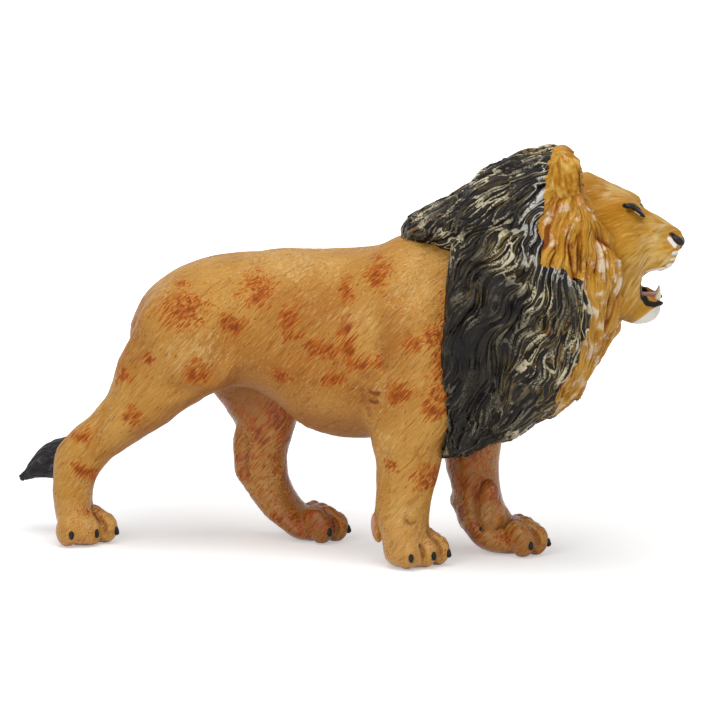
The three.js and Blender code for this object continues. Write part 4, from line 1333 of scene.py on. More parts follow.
def claw_tree():
    """Sets a claw on each point, turned by the point's own attribute."""
    group = bpy.data.node_groups.new("claws_on_toes", "GeometryNodeTree")
    sockets = {}
    for name, way, kind in (("Geometry", "INPUT", "Geometry"), ("Claw", "INPUT", "Object"),
                            ("Size", "INPUT", "Float"), ("Paint", "INPUT", "Material"),
                            ("Geometry", "OUTPUT", "Geometry")):
        socket = group.interface.new_socket(name, in_out=way, socket_type="NodeSocket" + kind)
        sockets.setdefault(name, socket.identifier)
    tree = Tree(group)
    points = tree.node("NodeGroupInput", {}, {}, "Geometry")
    given = points.socket.node.outputs
    kind, settings = "GeometryNodeInputNamedAttribute", {"data_type": "FLOAT"}
    turn = tree.node(kind, settings, {"Name": "turn"}, "Attribute")
    scale = tree.node(kind, settings, {"Name": "scale"}, "Attribute")
    facing = tree.node("ShaderNodeCombineXYZ", {}, {"Z": turn})
    values = {"Object": Wire(tree, given["Claw"])}
    claw = tree.node("GeometryNodeObjectInfo", {}, values, "Geometry")
    values = {"Points": points, "Instance": claw, "Rotation": facing,
              "Scale": Wire(tree, given["Size"]) * scale}
    claws = tree.node("GeometryNodeInstanceOnPoints", {}, values)
    solid = tree.node("GeometryNodeRealizeInstances", {}, [claws])
    values = {"Geometry": solid, "Material": Wire(tree, given["Paint"])}
    painted = tree.node("GeometryNodeSetMaterial", {}, values)
    out = group.nodes.new("NodeGroupOutput")
    tree.feed(out.inputs["Geometry"], painted)
    return group, sockets


def make_claws(look):
    paint = Paint("claw_black", 0.35, 0.2, 0.05)
    colour = paint.mottled(0.9, 0.4, 0.7, look.black, shade(34, 25, 21))
    material = paint.finish(colour, None, paint.blotches(0.4), 0.00005)
    mesh = bpy.data.meshes.new("claws")
    spots, turns, scales = zip(*claw_places())
    mesh.from_pydata([Vector(spot) * MM + Vector((RUMP, 0, 0)) for spot in spots], [], [])
    for name, values in (("turn", turns), ("scale", scales)):
        layer = mesh.attributes.new(name, "FLOAT", "POINT")
        layer.data.foreach_set("value", values)
    claws = linked("claws", mesh)
    claw = claw_form()
    group, sockets = claw_tree()
    modifier = claws.modifiers.new("claws", "NODES")
    modifier.node_group = group
    modifier[sockets["Claw"]] = claw
    modifier[sockets["Size"]] = look.claw_size
    modifier[sockets["Paint"]] = material
    bpy.context.view_layer.update()
    whole = claws.evaluated_get(bpy.context.evaluated_depsgraph_get())
    solid = bpy.data.meshes.new_from_object(whole)
    claws.modifiers.remove(modifier)
    bpy.data.objects.remove(claws)
    bpy.data.objects.remove(claw)
    solid.polygons.foreach_set("use_smooth", np.ones(len(solid.polygons), bool))
    shown("claws", solid, material, [])


# Mane and ruff: one skin over the neck, chest and round the face, parted along the golden edge

MANE_SHARES = [
    (0, 0, 0.1, 0.12), (0.03, -0.01, 0.3, 0.28), (0.06, 0, 0.64, 0.39), (0.1, 0, 0.82, 0.46),
    (0.16, 0.015, 0.9, 0.49), (0.27, 0.045, 0.94, 0.5), (0.38, 0.07, 0.97, 0.49),
    (0.5, 0.13, 0.965, 0.47), (0.6, 0.19, 0.967, 0.44), (0.7, 0.25, 0.955, 0.41),
    (0.8, 0.32, 0.935, 0.36), (0.9, 0.42, 0.85, 0.29), (0.97, 0.52, 0.77, 0.22), (1, 0.6, 0.7, 0.1),
]
CREST_SHARES = [
    (0, 0.1, 0.24, 0.03), (0.1, 0, 0.42, 0.12), (0.28, 0, 0.55, 0.21), (0.54, 0, 0.68, 0.32),
    (0.8, 0, 0.86, 0.42), (1, 0, 0.95, 0.43),
]
RUFF_SHARES = [
    (0, 0.2, 0.9, 0.4), (0.17, 0.05, 0.955, 0.48), (0.34, 0, 0.98, 0.49), (0.5, 0.03, 0.97, 0.46),
    (0.66, 0.1, 0.91, 0.42), (0.78, 0.17, 0.85, 0.37), (0.9, 0.25, 0.79, 0.31),
    (0.97, 0.32, 0.7, 0.26), (1, 0.38, 0.62, 0.18),
]
# Where gold meets dark: height and place along the ruff, as shares of its height and depth
GOLD_EDGE_SHARES = [
    (-0.1, 0.36), (0.02, 0.38), (0.12, 0.43), (0.2, 0.52), (0.29, 0.61), (0.38, 0.66), (0.46, 0.69),
    (0.53, 0.6), (0.585, 0.42), (0.6, 0.25), (0.7, 0.25), (0.87, 0.27), (0.99, 0.34), (1.1, 0.4),
]
MANE_BASE = (0.8 * BODY_LENGTH, 0, 0.33 * SHOULDER_HEIGHT)
CREST_BASE = (0.675 * BODY_LENGTH, 0, 0.965 * SHOULDER_HEIGHT)
NECK_PLACE = 1.053 * BODY_LENGTH
CHIN_LINE = 0.755 * SHOULDER_HEIGHT
RUFF_BACK = -0.3 * HEAD_SIZE[0]
RUFF_FOOT = CHIN_LINE - 0.57 * HEAD_SIZE[2]


def to_head(x, y):
    """Places along and across the head, whose frame is turned to the lion's left."""
    c, s = math.cos(HEAD_TURN), math.sin(HEAD_TURN)
    return (x - NECK_PLACE) * c + y * s, y * c - (x - NECK_PLACE) * s


def from_head(u, v):
    c, s = math.cos(HEAD_TURN), math.sin(HEAD_TURN)
    return NECK_PLACE + u * c - v * s, u * s + v * c


def in_head(form):
    """A form of the head's frame, for a sculpt in the figure's frame."""
    low, high, distance = form
    xs, ys = zip(*(from_head(u, v) for u in (low[0], high[0]) for v in (low[1], high[1])))

    def turned(x, y, z):
        return distance(*to_head(x, y), z)

    return (min(xs), min(ys), low[2]), (max(xs), max(ys), high[2]), turned


def lock(points, thick):
    """A tapered lock of hair through the given points."""
    rows = curve_rows(points, 4)
    t = np.linspace(0, 1, len(rows))
    swell = 0.35 + 0.65 * np.sin(np.pi * np.minimum(0.2 + t * 0.75, 1))
    return cord_form(rows, thick * swell * (1 - 0.75 * t**3))


# How far forward the hair reaches beside the face: height, and place along the head
RUFF_FRONT = [
    (30, 4), (56, 7.5), (65, 11), (69, 13.8), (76, 18), (83, 21.2), (90, 22.2), (102, 21.6),
    (109, 20.8), (114.5, 19), (119.3, 16), (124.2, 13.4), (130.5, 10.2), (135, 8.6), (139, 6.6),
    (143, 3.6), (150, -6),
]
# Locks at the mane's rear edge and under its chest, and locks that hang from the ruff in the
# head's frame
REAR_LOCK = [(124, 20, 50), (119, 17, 43), (113.5, 13, 37.6)]
CHEST_LOCK = [(114, 0, 44), (100, 0, 43.4), (90.6, 0, 42.6), (88, 0, 42)]
CHEST_LOCK_RADII = [5.0, 4.6, 3.6, 2.4]
RUFF_LOCKS = [
    ([(11.4, -6, 73), (9.6, -5.5, 65.5), (7.2, -5, 58.5)], 2.4),
    ([(8.0, -9, 68), (6.6, -8, 61.5), (4.6, -7, 57.5)], 2.2),
    ([(11.4, 1, 73), (9.4, 1.5, 65), (7.6, 2, 59.5)], 2.2),
]
# Height that parts the upper mane from the lower, and the side place that parts the ruff
MANE_PART = 92
RUFF_PART = 4


def ahead_of(profile):
    """All that lies ahead of a profile of heights and places along the head, for carving."""
    heights, fronts = zip(*profile)

    def distance(u, v, z):
        return (np.interp(z, heights, fronts) - u) * 0.85 + 0 * v

    return (-8, -40, heights[0]), (46, 40, heights[-1]), distance


def sculpted_mane(step):
    mane = Sculpt((80, -33, 30), (178, 33, 150), step)
    mane.add(upright_form(MANE_SHARES, MANE_SIZE, MANE_BASE, 2))
    mane.add(upright_form(CREST_SHARES, CREST_SIZE, CREST_BASE, 2), 4)
    mane.add(in_head(upright_form(RUFF_SHARES, RUFF_SIZE, (RUFF_BACK, 0, RUFF_FOOT), 2)), 5)
    mane.carve(in_head(ahead_of(RUFF_FRONT)), 3)
    for side, _ in SIDES:
        mane.carve(in_head(egg((9.0, side * 18.5, 140.5), (9.5, 6.5, 8.0), 0, side * 20)), 2)
        mane.add(lock([(x, side * y, z) for x, y, z in REAR_LOCK], 3.8), 5.0)
    mane.add(cord_form(CHEST_LOCK, CHEST_LOCK_RADII), 2.0)
    for points, thick in RUFF_LOCKS:
        mane.add(in_head(lock(points, thick)), 1.0)
    return mane


def golden(x, y, z):
    """Millimetres ahead of the edge where the dark mane ends."""
    u, v = to_head(x, y)
    up = (z - RUFF_FOOT) / RUFF_SIZE[2]
    rows = np.array(GOLD_EDGE_SHARES)
    edge = np.interp(up, rows[:, 0], rows[:, 1])
    return u - RUFF_BACK - edge * RUFF_SIZE[0]


def mane_lie(normals):
    """The way the mane's hair lies at any place, along the skin and waving."""
    tables = [noise_table(seed) for seed in (31, 32, 33)]

    def lie(place):
        x, y, z = place.T
        gold = golden(x, y, z)
        near_face = ramp(gold, -16, -1)
        upper = ramp(z, 96, 128)
        low_rear = ramp(66 - z, 0, 26) * ramp(134 - x, 0, 16)
        angle = 58 + 24 * near_face * (1 - 0.4 * ramp(z, 126, 142)) - 20 * upper * (1 - near_face)
        angle = angle + 14 * low_rear
        on_ruff = ramp(gold, -1, 2)
        crown = ramp(z, 130, 138)
        angle = angle + (88 - 24 * ramp(gold, 2, 14) - angle) * on_ruff * (1 - crown)
        angle = angle + (36 - angle) * crown
        along = 0.5 * x + 0.85 * z
        phase = along / 17 + 1.8 * noise_at(place / 14, tables[2])
        angle = angle + (19 - 5 * on_ruff) * np.sin(2 * math.pi * phase)
        angle = angle + 40 * (noise_at(place / 17, tables[0]) - 0.5)
        angle = np.radians(angle + 44 * (noise_at(place / 6, tables[2]) - 0.5))
        sway = 0.5 * (noise_at(place / 13, tables[1]) - 0.5)
        return along_skin(np.stack([-np.cos(angle), sway, -np.sin(angle)], axis=1), normals)

    return lie


def ridged(value):
    """Round strands with sharp grooves between them, from 0 to 1."""
    return np.clip(np.abs(value) / 1.25, 0, 1) ** 0.75


def hair_on_mane(skin, look):
    """Cuts locks, strands and hairs into the mane, and keeps their noises for its paint."""
    normals = skin.spread(skin.normals(), 6)
    normals /= np.linalg.norm(normals, axis=1, keepdims=True)
    walk = Walk(skin.vertices, mane_lie(normals), 13.0, 0.65)
    x, y, z = skin.vertices.T
    locks = walk.combed(4.4, 13.0, 41)
    strands = walk.combed(1.5, 11.0, 42)
    hairs = walk.combed(0.75, 7.0, 43)
    ragged = 1.4 * walk.combed(1.6, 5.0, 45) + 0.9 * walk.combed(5.0, 5.0, 46)
    gold = golden(x, y, z) + 0.5 * ragged
    calm = 1 - 0.45 * ramp(gold, 6, 14) * ramp(86 - z, 0, 12)
    step = ramp(-gold, -0.8, 0.4) * ramp(7 + gold, 0, 6) * ramp(112 - z, 0, 6)
    height = look.lock_depth / MM * (ridged(locks) - 0.62)
    height += look.strand_depth / MM * (ridged(strands) - 0.6) + 0.28 * ridged(hairs) - 0.15
    bolder = 1 + 0.6 * ramp(gold, 1, 8) * ramp(130 - z, 0, 8)
    skin.push(height * calm * bolder + 0.9 * step)
    ridge = 0.5 * ridged(strands) + 0.3 * ridged(locks) + 0.2 * ridged(hairs)
    skin.marks.update(ridge=ridge, lock=locks, strand=strands, hair=hairs)
    return gold


def paint_mane(skin, gold):
    x, y, z = skin.vertices.T
    blotch = [noise_at(skin.vertices / 14, noise_table(seed)) for seed in (51, 52)]
    rear = ramp(gold, -14, -26) * ramp(112 - z, 0, 8)
    rear = np.maximum(rear, ramp(125 - x, 0, 7) * ramp(106 - z, 0, 6))
    front = ramp(gold, -12, -3) * ramp(104 - z, 0, 5)
    skin.marks["bare"] = np.clip(rear * (0.4 + 1.2 * blotch[0]), 0, 1)
    skin.marks["silver"] = ramp(gold, -13, -3) * ramp(z, 98, 106) * ramp(142 - z, 0, 6)
    skin.marks["olive"] = np.clip(front * 0.8 + 1.3 * (blotch[1] - 0.45), 0, 1)
    skin.marks["low"] = ramp(88 - z, 0, 12)
    skin.marks["crown"] = ramp(z, 124, 133)


def hair_paint_dark(look):
    """Near black hair with thin cream lines, silver by the ruff, olive in front, a little rust."""
    paint = Paint("dark_hair", 0.4, 0.2)
    ridge, lock, strand, hair, silver = paint.marks("ridge lock strand hair silver")
    speck = paint.blotches(0.7)
    bare = 1.0 - paint.mark("bare") * 0.85
    area = paint.blotches(11.0) * 3.2 + silver * 0.5 + lock * 0.15 + speck * 1.2 - 1.9
    cover = area.between(0, 0.8) * bare
    tinge = (paint.mark("olive") * 0.6 + paint.blotches(6.0) - 0.35).between(0.1, 0.5) * bare
    tinge = (strand * 4.0 + hair).sine().between(0.3, 0.9) * tinge
    kind = paint.mixed(silver, look.mane_cream, look.mane_silver)
    soft = paint.mixed(speck.between(0.35, 0.6), shade(112, 102, 82), kind)
    combed = (lock * 5.5 + strand * 1.1 + hair * 0.3).sine().between(0.72, 0.96)
    finer = hair.between(0.65, 1.1) * speck.between(0.3, 0.5)
    dusty = (hair * 0.3 + speck).between(0.3, 0.6)
    broad = strand.between(0.8, 1.2) * dusty
    rust = (paint.blotches(4.0) + strand * 0.04).between(0.7, 0.73) * strand.between(0.6, 1.0)
    colour = paint.layered(
        paint.mixed(ridge.between(0.55, 1.0) * 0.5, look.mane_black, shade(50, 42, 36)),
        (tinge * 0.75, look.mane_olive),
        (finer * (cover * 0.8 + bare * 0.25), soft),
        (combed * (cover * 0.9 + bare * 0.08), kind),
        (broad * (cover + bare * 0.1), kind),
        (rust * bare * dusty * 0.7, shade(150, 84, 32)),
    )
    return paint.finish(colour, 0.5 - 0.22 * ridge, hair + strand + speck, 0.00022)


def hair_paint_gold(look):
    """Golden ochre hair with rust in its grooves and white on its ridges."""
    paint = Paint("gold_hair", 0.4, 0.2)
    ridge, lock, strand, hair = paint.marks("ridge lock strand hair")
    speck = paint.blotches(0.8)
    calm = 1.0 - paint.mark("crown") * 0.85
    rust = (paint.blotches(5.0) - strand * 0.05 + speck * 0.15).between(0.62, 0.72)
    groove = (0.58 - ridge + speck * 0.2).between(0.12, 0.42)
    combed = (strand * 4.2 + hair * 0.6).sine().between(0.7, 0.98)
    patch = (paint.blotches(5.0) * 3.0 + lock * 0.1 + speck * 0.6 - 1.75).between(0.1, 0.55)
    white = patch * (ridge * 1.4 + speck * 0.5 - 0.6).between(0.2, 0.7) * (calm * 0.85 + 0.1)
    colour = paint.layered(
        paint.mottled(9.0, 0.35, 0.65, look.ruff_ochre, shade(204, 152, 58)),
        (hair.between(0.4, 1.2) * 0.3, shade(222, 178, 92)),
        (rust * 0.45, shade(188, 100, 18)),
        (groove * (0.4 + calm * 0.55), look.ruff_rust),
        (combed * calm * 0.35, look.ruff_rust),
        (white * (1.0 - paint.mark("low") * 0.3) * 0.9, look.ruff_white),
    )
    return paint.finish(colour, 0.48 - 0.22 * ridge, hair + strand + speck, 0.00022)


def make_mane(look):
    skin = skin_of(sculpted_mane(cubes(look.grain / MM)))
    gold = hair_on_mane(skin, look)
    paint_mane(skin, gold)
    bright = gold[skin.faces].mean(1) > 0
    _, y, z = skin.vertices[skin.faces].mean(1).T
    dark_paint, gold_paint = hair_paint_dark(look), hair_paint_gold(look)
    for side, hand in SIDES:
        for level, within in (("upper", z > MANE_PART), ("lower", z <= MANE_PART)):
            name = f"mane_{hand}_{level}"
            mesh = patch_mesh(name, skin, ~bright & within & ((y < 0) == (side < 0)))
            shown(name, mesh, dark_paint, ["mane_collar"])
    for side, hand in SIDES:
        name = f"ruff_{hand}_half"
        mesh = patch_mesh(name, skin, bright & ((y < RUFF_PART) == (side < 0)))
        shown(name, mesh, gold_paint, ["face_ruff"])


# Tail tuft

TUFT_LIE = (-0.88, 0.0, -0.42)


def make_tuft(look):
    stem, _ = tail_points()
    root = stem[-1] + np.array([TAIL_THICKNESS / 4, 0, TAIL_THICKNESS / 4])
    rows = curve_rows(TUFT_SHARES, 6)
    points = root + rows[:, :3] * TUFT_LENGTH
    sculpt = Sculpt(points.min(0) - 8, points.max(0) + 8, cubes(0.3))
    sculpt.add(cord_form(points, rows[:, 3] * TUFT_THICKNESS / 2))
    skin = skin_of(sculpt)
    tail = along_skin(np.array(TUFT_LIE), skin.normals())
    wave = noise_table(61)

    def lie(place):
        return tail + np.array([0, 1.0, 0.3]) * (noise_at(place / 6, wave)[:, None] - 0.5)

    walk = Walk(skin.vertices, lie, 9.0, 0.6)
    locks = ridged(walk.combed(3.0, 9.0, 62))
    strands = walk.combed(1.1, 8.0, 63)
    skin.push(0.5 * (locks - 0.6) + 0.4 * (ridged(strands) - 0.6))
    skin.marks["ridge"] = np.clip(0.6 * ridged(strands) + 0.4 * locks, 0, 1)
    skin.marks["strand"] = strands
    paint = Paint("tuft_hair", 0.45, 0.2)
    ridge, strand = paint.marks("ridge strand")
    speck = paint.blotches(0.7)
    thin = strand.work("ABSOLUTE", strand - 0.9).between(0.9, 0.18)
    pale = (ridge * 0.8 + speck * 0.4).between(0.8, 1.1) * thin
    ground = paint.mottled(4.0, 0.3, 0.7, look.tuft_charcoal, shade(46, 42, 46))
    colour = paint.mixed(pale * 0.7, ground, look.tuft_grey)
    material = paint.finish(colour, 0.6 - 0.15 * ridge, speck, 0.00008)
    mesh = patch_mesh("tail_tuft_hair", skin)
    shown("tail_tuft_hair", mesh, material, ["tail_tuft"])


# Head: sculpted in its own frame, then turned with the neck

HEAD_SHARES = [
    (-0.14, 0.3, 0.72, 0.28), (0, 0.14, 0.93, 0.44), (0.14, 0.1, 0.975, 0.49), (0.27, 0.1, 0.985, 0.5),
    (0.41, 0.12, 0.93, 0.48), (0.52, 0.15, 0.886, 0.44), (0.6, 0.18, 0.835, 0.4),
    (0.64, 0.22, 0.785, 0.37), (0.68, 0.31, 0.76, 0.34), (0.75, 0.35, 0.725, 0.31),
    (0.86, 0.375, 0.67, 0.29), (0.91, 0.405, 0.64, 0.26), (0.95, 0.46, 0.62, 0.22),
    (0.98, 0.53, 0.6, 0.16), (1, 0.565, 0.58, 0.08),
]
HEAD_POWER = 2.38
JAW_SHARES = [
    (0, 0.35, 0.96, 0.34), (0.2, 0.24, 1, 0.48), (0.43, 0.17, 0.94, 0.5), (0.58, 0.08, 0.84, 0.43),
    (0.7, 0, 0.72, 0.38), (0.83, 0.03, 0.64, 0.33), (0.94, 0.16, 0.62, 0.25), (1, 0.32, 0.56, 0.12),
]
JAW_BACK = 0.18 * HEAD_SIZE[0]
EYE_SPOT = (27.4, 9.3, 124.6)
EYE_SLANT = -40
FAR_EYE_DROP = 0.8
NOSE_SPOT = (41.2, 0.0, 112.4)
# Eggs of one side of the head, and those of the mouth, the eye's socket and the chin
FACE_EGGS = [
    (19, 9, 97, 10.5, 5.6, 10, -20, 0, 3), (20.5, 11, 111, 9, 4.8, 7, -25, 0, 3.5),
    (24.2, 7.2, 125.6, 5.4, 4, 2.4, -20, 10, 2), (42, 8.4, 115.5, 8, 4.6, 4.6, -24, 0, -2.5),
    (35, 4.7, 107.8, 5.8, 4.7, 4.6, -6, 0, 1.8), (30.5, 7.2, 92.4, 6.5, 2.2, 2.4, -4, -16, 1.6),
]
MOUTH_EGGS = [(39, 0, 97.9, 9.4, 16, 5.9, 4, 0, -0.9), (31.5, 0, 97.2, 8.5, 6.4, 4.2, 0, 0, -1.5)]
SOCKET_EGGS = [(27.4, 11.6, 124.3, 4.8, 3.4, 2.2, EYE_SLANT, -14, -1.2)]
CHIN_EGGS = [(30.8, 0, 88.6, 4.6, 5.6, 3.6, 12, 0, 2)]
# Lids, cheek and muzzle creases and lip of one side, then the grooves of brow and upper lip
FACE_STROKES = [
    ([(22.6, 10.9, 127.4), (26.2, 10.6, 126.4), (30.2, 8.6, 122.6)], 0.8, 0.55),
    ([(23.2, 11.6, 125), (27, 11.2, 122.6), (31.2, 8.8, 119.4)], 0.8, 0.4),
    ([(30.5, 7.6, 118), (33, 8.6, 112), (30.5, 10.5, 106)], 1.6, -0.35),
    ([(39.9, 2.2, 104.4), (35, 7.4, 103.1), (31, 9.6, 101.8)], 0.8, 0.35),
    ([(16, 14.5, 118), (22, 14, 113), (27, 12, 108)], 1.8, -0.35),
]
MIDDLE_STROKES = [
    ([(25.6, 0, 130.5), (20, 0, 133), (12, 0, 136)], 1.6, -0.6),
    ([(41.8, 0, 109.5), (41.2, 0, 106.5), (40, 0, 103.6)], 0.7, -0.9),
]
# The muzzle's profile above the mouth: height, and place along the head
MUZZLE_FRONT = [
    (98, 39.2), (103.5, 39.7), (106, 40.4), (110, 41.9), (113, 43), (116, 44), (120, 60),
]
# Painted lines, seen from the side: the black rim of the mouth from its corner down and along
# the lower lip, the eye's rim, the nostril's, and the white band beside the nose
LIP_LINE = [(30.8, 101.2), (29.8, 98), (29.9, 94.6), (31.3, 92.5), (33.6, 91.8), (36.4, 92.4)]
EYE_LINE = [(23.4, 126.4), (26.4, 126.0), (28.4, 124.2), (30.1, 121.8)]
NOSTRIL_LINE = [(39.4, 114.5), (42.0, 112.6)]
NOSE_BAND = [(38.6, 113.9), (40.6, 111.7)]
WHISKER_ROWS = ((40.2, 109.4), (39.2, 107.4), (38.6, 105.4))
# Pale patches of the face: partly dry-brushed paint, partly painted highlight
PALE_FACE_HIGHLIGHTS = [
    (36, 118.5, 5, 2.4), (37, 106.5, 4, 3), (22, 130.5, 7, 2), (33, 114, 4, 3), (28, 100, 4, 5),
    (31, 108, 5, 4),
]
GOLD_FACE = [(19, 124, 6, 5), (16.5, 117, 5, 7), (42, 116.5, 2.5, 2), (14, 130, 6, 4)]
MOUTH_SLOPE = 0.07
# The jaw is parted from the head along a line that falls back from the mouth's corner
JAW_PART = 97.0
JAW_PART_SLOPE = 0.25
MOUTH_CORNER = 30
NECK_CUT = -3


def sculpted_head(step):
    head = Sculpt((-4, -19, 81), (46.5, 19, 139), step)
    head.add(upright_form(HEAD_SHARES, HEAD_SIZE, (0, 0, CHIN_LINE), HEAD_POWER))
    head.add(upright_form(JAW_SHARES, JAW_SIZE, (JAW_BACK, 0, CHIN_LINE), 2), 2.0)
    for side, _ in SIDES:
        add_eggs(head, FACE_EGGS, side)
    head.carve(ahead_of(MUZZLE_FRONT), 0.8)
    add_eggs(head, MOUTH_EGGS)
    for side, _ in SIDES:
        add_eggs(head, SOCKET_EGGS, side)
        add_strokes(head, FACE_STROKES, side)
    add_strokes(head, MIDDLE_STROKES)
    add_eggs(head, CHIN_EGGS)
    return head


def beside_path(points, u, z):
    """Distance, seen from the side, to a bent line through the given places."""
    spots = [(a, 0, b) for a, b in points]
    return path_distance(spots, u, np.zeros(len(u)), z)[0]


def paint_head(skin):
    u, v, z = skin.vertices.T
    side = np.abs(v)
    marks = skin.marks
    # Painted shade in the face's hollows
    marks["hollow"] = ramp(skin.hollows(6), 0.03, 0.3)
    ahead, _, up, long, _, tall = MOUTH_EGGS[0][:6]
    mouth = ((u - ahead) / long) ** 2 + ((z - up + MOUTH_SLOPE * (u - ahead)) / tall) ** 2
    marks["inside"] = ramp(11 - side, 0, 1) * ramp(1.05 - mouth, 0, 0.1)
    chin = ramp(86.0 + 0.73 * (u - 27) - z, 0, 0.8) * ramp(u, 25.8, 27.2)
    lip = ramp(mouth, 0.92, 1.0) * ramp(1.36 - mouth, 0, 0.12) * ramp(z, 100.4, 101.2)
    white = np.maximum(chin, lip * ramp(u, 30.3, 31.3))
    for row in WHISKER_ROWS:
        away = near_spot((u, side, z), (row[0], 5.4, row[1]), (1.7, 3.6, 0.85))
        white = np.maximum(white, ramp(1.15 - away, 0, 0.4))
    band = ramp(0.8 - beside_path(NOSE_BAND, u, z), 0, 0.3)
    white = np.maximum(white, band * ramp(side, 2.4, 3.0) * ramp(8 - side, 0, 0.6))
    marks["white"] = np.clip(white, 0, 1)
    rim = ramp(1.15 - beside_path(LIP_LINE, u, z), 0, 0.3) * ramp(side, 3.0, 4.0)
    eye = ramp(0.95 - beside_path(EYE_LINE, u, z), 0, 0.35) * ramp(side, 6.6, 7.4)
    nostril = ramp(1.5 - beside_path(NOSTRIL_LINE, u, z), 0, 0.4) * ramp(u, 38.2, 38.8)
    nostril = nostril * ramp(4.8 - side, 0, 0.6) * ramp(z, 109.6, 110.4)
    marks["black"] = np.clip(rim + eye + nostril, 0, 1)
    marks["pale"] = patches(u, z, PALE_FACE_HIGHLIGHTS)
    marks["brow"] = patches(u, z, GOLD_FACE)
    # Painted shade under the jaw
    marks["throat"] = ramp(90.5 - z, 0, 3) * ramp(29 - u, 0, 4)


def hair_on_head(skin, depth):
    normals = skin.normals()

    def lie(place):
        u, v, z = place.T
        cheek = 45 * ramp(28 - u, 0, 14) * ramp(122 - z, 0, 12)
        angle = np.radians(20 + cheek + 28 * ramp(112 - z, 0, 6))
        run = np.stack([-np.cos(angle), 0.15 * np.sign(v), -np.sin(angle)], axis=1)
        return along_skin(run, normals)

    walk = Walk(skin.vertices, lie, 6.0, 0.5)
    fine = walk.combed(0.6, 2.4, 71)
    tufts = walk.combed(1.5, 6.0, 72)
    rear = ramp(19 - skin.vertices[:, 0], 0, 8)
    smooth = (1 - skin.marks["black"]) * (1 - skin.marks["white"]) * (1 - skin.marks["inside"])
    skin.push((depth * fine + (0.03 + 0.17 * rear) * tufts) * (0.12 + 0.88 * smooth))
    skin.marks["fine"] = fine


def face_paint(look):
    """Golden face with fine fur, a warm temple, pale muzzle partly painted as highlight, white lips
    and chin, black rims, and painted shade in its hollows and under the jaw.
    """
    paint = Paint("face_coat", 0.4, 0.14)
    fine, black = paint.marks("fine black")
    lines = paint.strokes((-0.85, 0, -0.5), 0.26, 1.7, 2.0)
    pale = paint.mark("pale") * (lines * 0.6 + fine * 0.12).between(0.1, 0.5)
    colour = paint.layered(
        paint.mottled(8.0, 0.35, 0.65, look.face_tan, look.face_light),
        (paint.mark("brow") * 0.9, look.brow_gold),
        (fine.between(0.7, 1.8) * 0.35, shade(222, 184, 112)),
        (fine.between(-0.9, -1.9) * 0.35, shade(144, 92, 28)),
        (lines.between(0.55, 0.7) * 0.3, shade(146, 94, 30)),
        # Pale strokes, partly painted highlight
        (pale * 0.7, look.face_pale_highlight),
        # Painted shade in the hollows and under the jaw
        (paint.mark("hollow") * 0.7, shade(140, 84, 34)),
        (paint.mark("throat") * 0.6, shade(132, 80, 46)),
        (paint.mark("inside"), shade(196, 120, 84)),
        (paint.mark("white"), look.white),
        (black, look.black),
    )
    return paint.finish(colour, 0.52 - 0.12 * lines - 0.12 * black, lines, 0.00012)


def turn_to_body(skin):
    u, v, z = skin.vertices.T
    x, y = from_head(u, v)
    skin.vertices = np.stack([x, y, z], axis=1)


def make_head(look):
    skin = skin_of(sculpted_head(cubes(look.grain / MM)))
    paint_head(skin)
    hair_on_head(skin, look.fur_depth / MM)
    u, _, z = skin.vertices[skin.faces].mean(1).T
    lower = z - JAW_PART - JAW_PART_SLOPE * (u - MOUTH_CORNER) < 0
    turn_to_body(skin)
    material = face_paint(look)
    for name, node, chosen in (("head_skin", "head", ~lower), ("jaw_skin", "lower_jaw", lower)):
        mesh = patch_mesh(name, skin, chosen & (u > NECK_CUT))
        shown(name, mesh, material, [node])


def small_piece(name, sculpt, material, node, finish=None):
    """A small sculpted piece of the head."""
    skin = skin_of(sculpt)
    if finish:
        finish(skin)
    turn_to_body(skin)
    shown(name, patch_mesh(name, skin), material, [node])


def box_round(spot, reach):
    """Corners of a sculpting box round a spot."""
    return [[at + way * far for at, far in zip(spot, reach)] for way in (-1, 1)]


# Ears: an egg, its root and the cup that is carved out, from the ear's spot

EAR_SPOT = (4.4, 16.2, 138.0)
FAR_EAR_SHIFT = (-1.4, -3.4)
EAR_EGGS = [
    (0, 0, 0, 6, 4.6, 7.6, 12, 20, 0), (-2.4, -0.6, -4, 5.2, 4.6, 5.6, 10, 20, 2),
    (5, 0.6, -0.6, 3, 3.2, 5.6, 8, 20, -0.8),
]
EAR_GROOVE = [([(1.5, 4.6, 4), (3, 4.6, -4)], 0.9, -0.5)]
CUP_RADII = (3.3, 3.5, 5.9)
EAR_HAIR_LIE = (0.25, 0, -0.95)


def ear_paint(look):
    paint = Paint("ear_hair", 0.4, 0.14)
    hair = paint.mark("hair")
    colour = paint.layered(
        paint.mottled(4.0, 0.35, 0.65, look.brow_gold, look.face_light),
        (hair.between(0.4, 1.4) * 0.5, shade(226, 190, 124)),
        (hair.between(-0.5, -1.5) * 0.5, shade(140, 76, 24)),
        # Painted shade in the hollows and the cup
        (paint.mark("hollow") * 0.85, shade(112, 60, 22)),
        (paint.mark("cup") * 0.8, shade(96, 54, 24)),
    )
    return paint.finish(colour, 0.5, paint.blotches(0.5), 0.0001)


def hair_on_ear(skin, cup):
    upward = along_skin(np.array(EAR_HAIR_LIE), skin.normals())
    walk = Walk(skin.vertices, lambda place: upward, 6.0, 0.5)
    hair = walk.combed(0.8, 6.0, 81)
    skin.push(0.1 * hair + 0.22 * walk.combed(2.0, 6.0, 82))
    skin.marks["hair"] = hair
    # Painted shade in the ear's hollows and inside its cup
    skin.marks["hollow"] = ramp(skin.hollows(5), 0.03, 0.25)
    away = np.sqrt(near_spot(skin.vertices.T, cup, CUP_RADII))
    skin.marks["cup"] = ramp(1.15 - away, 0, 0.2)


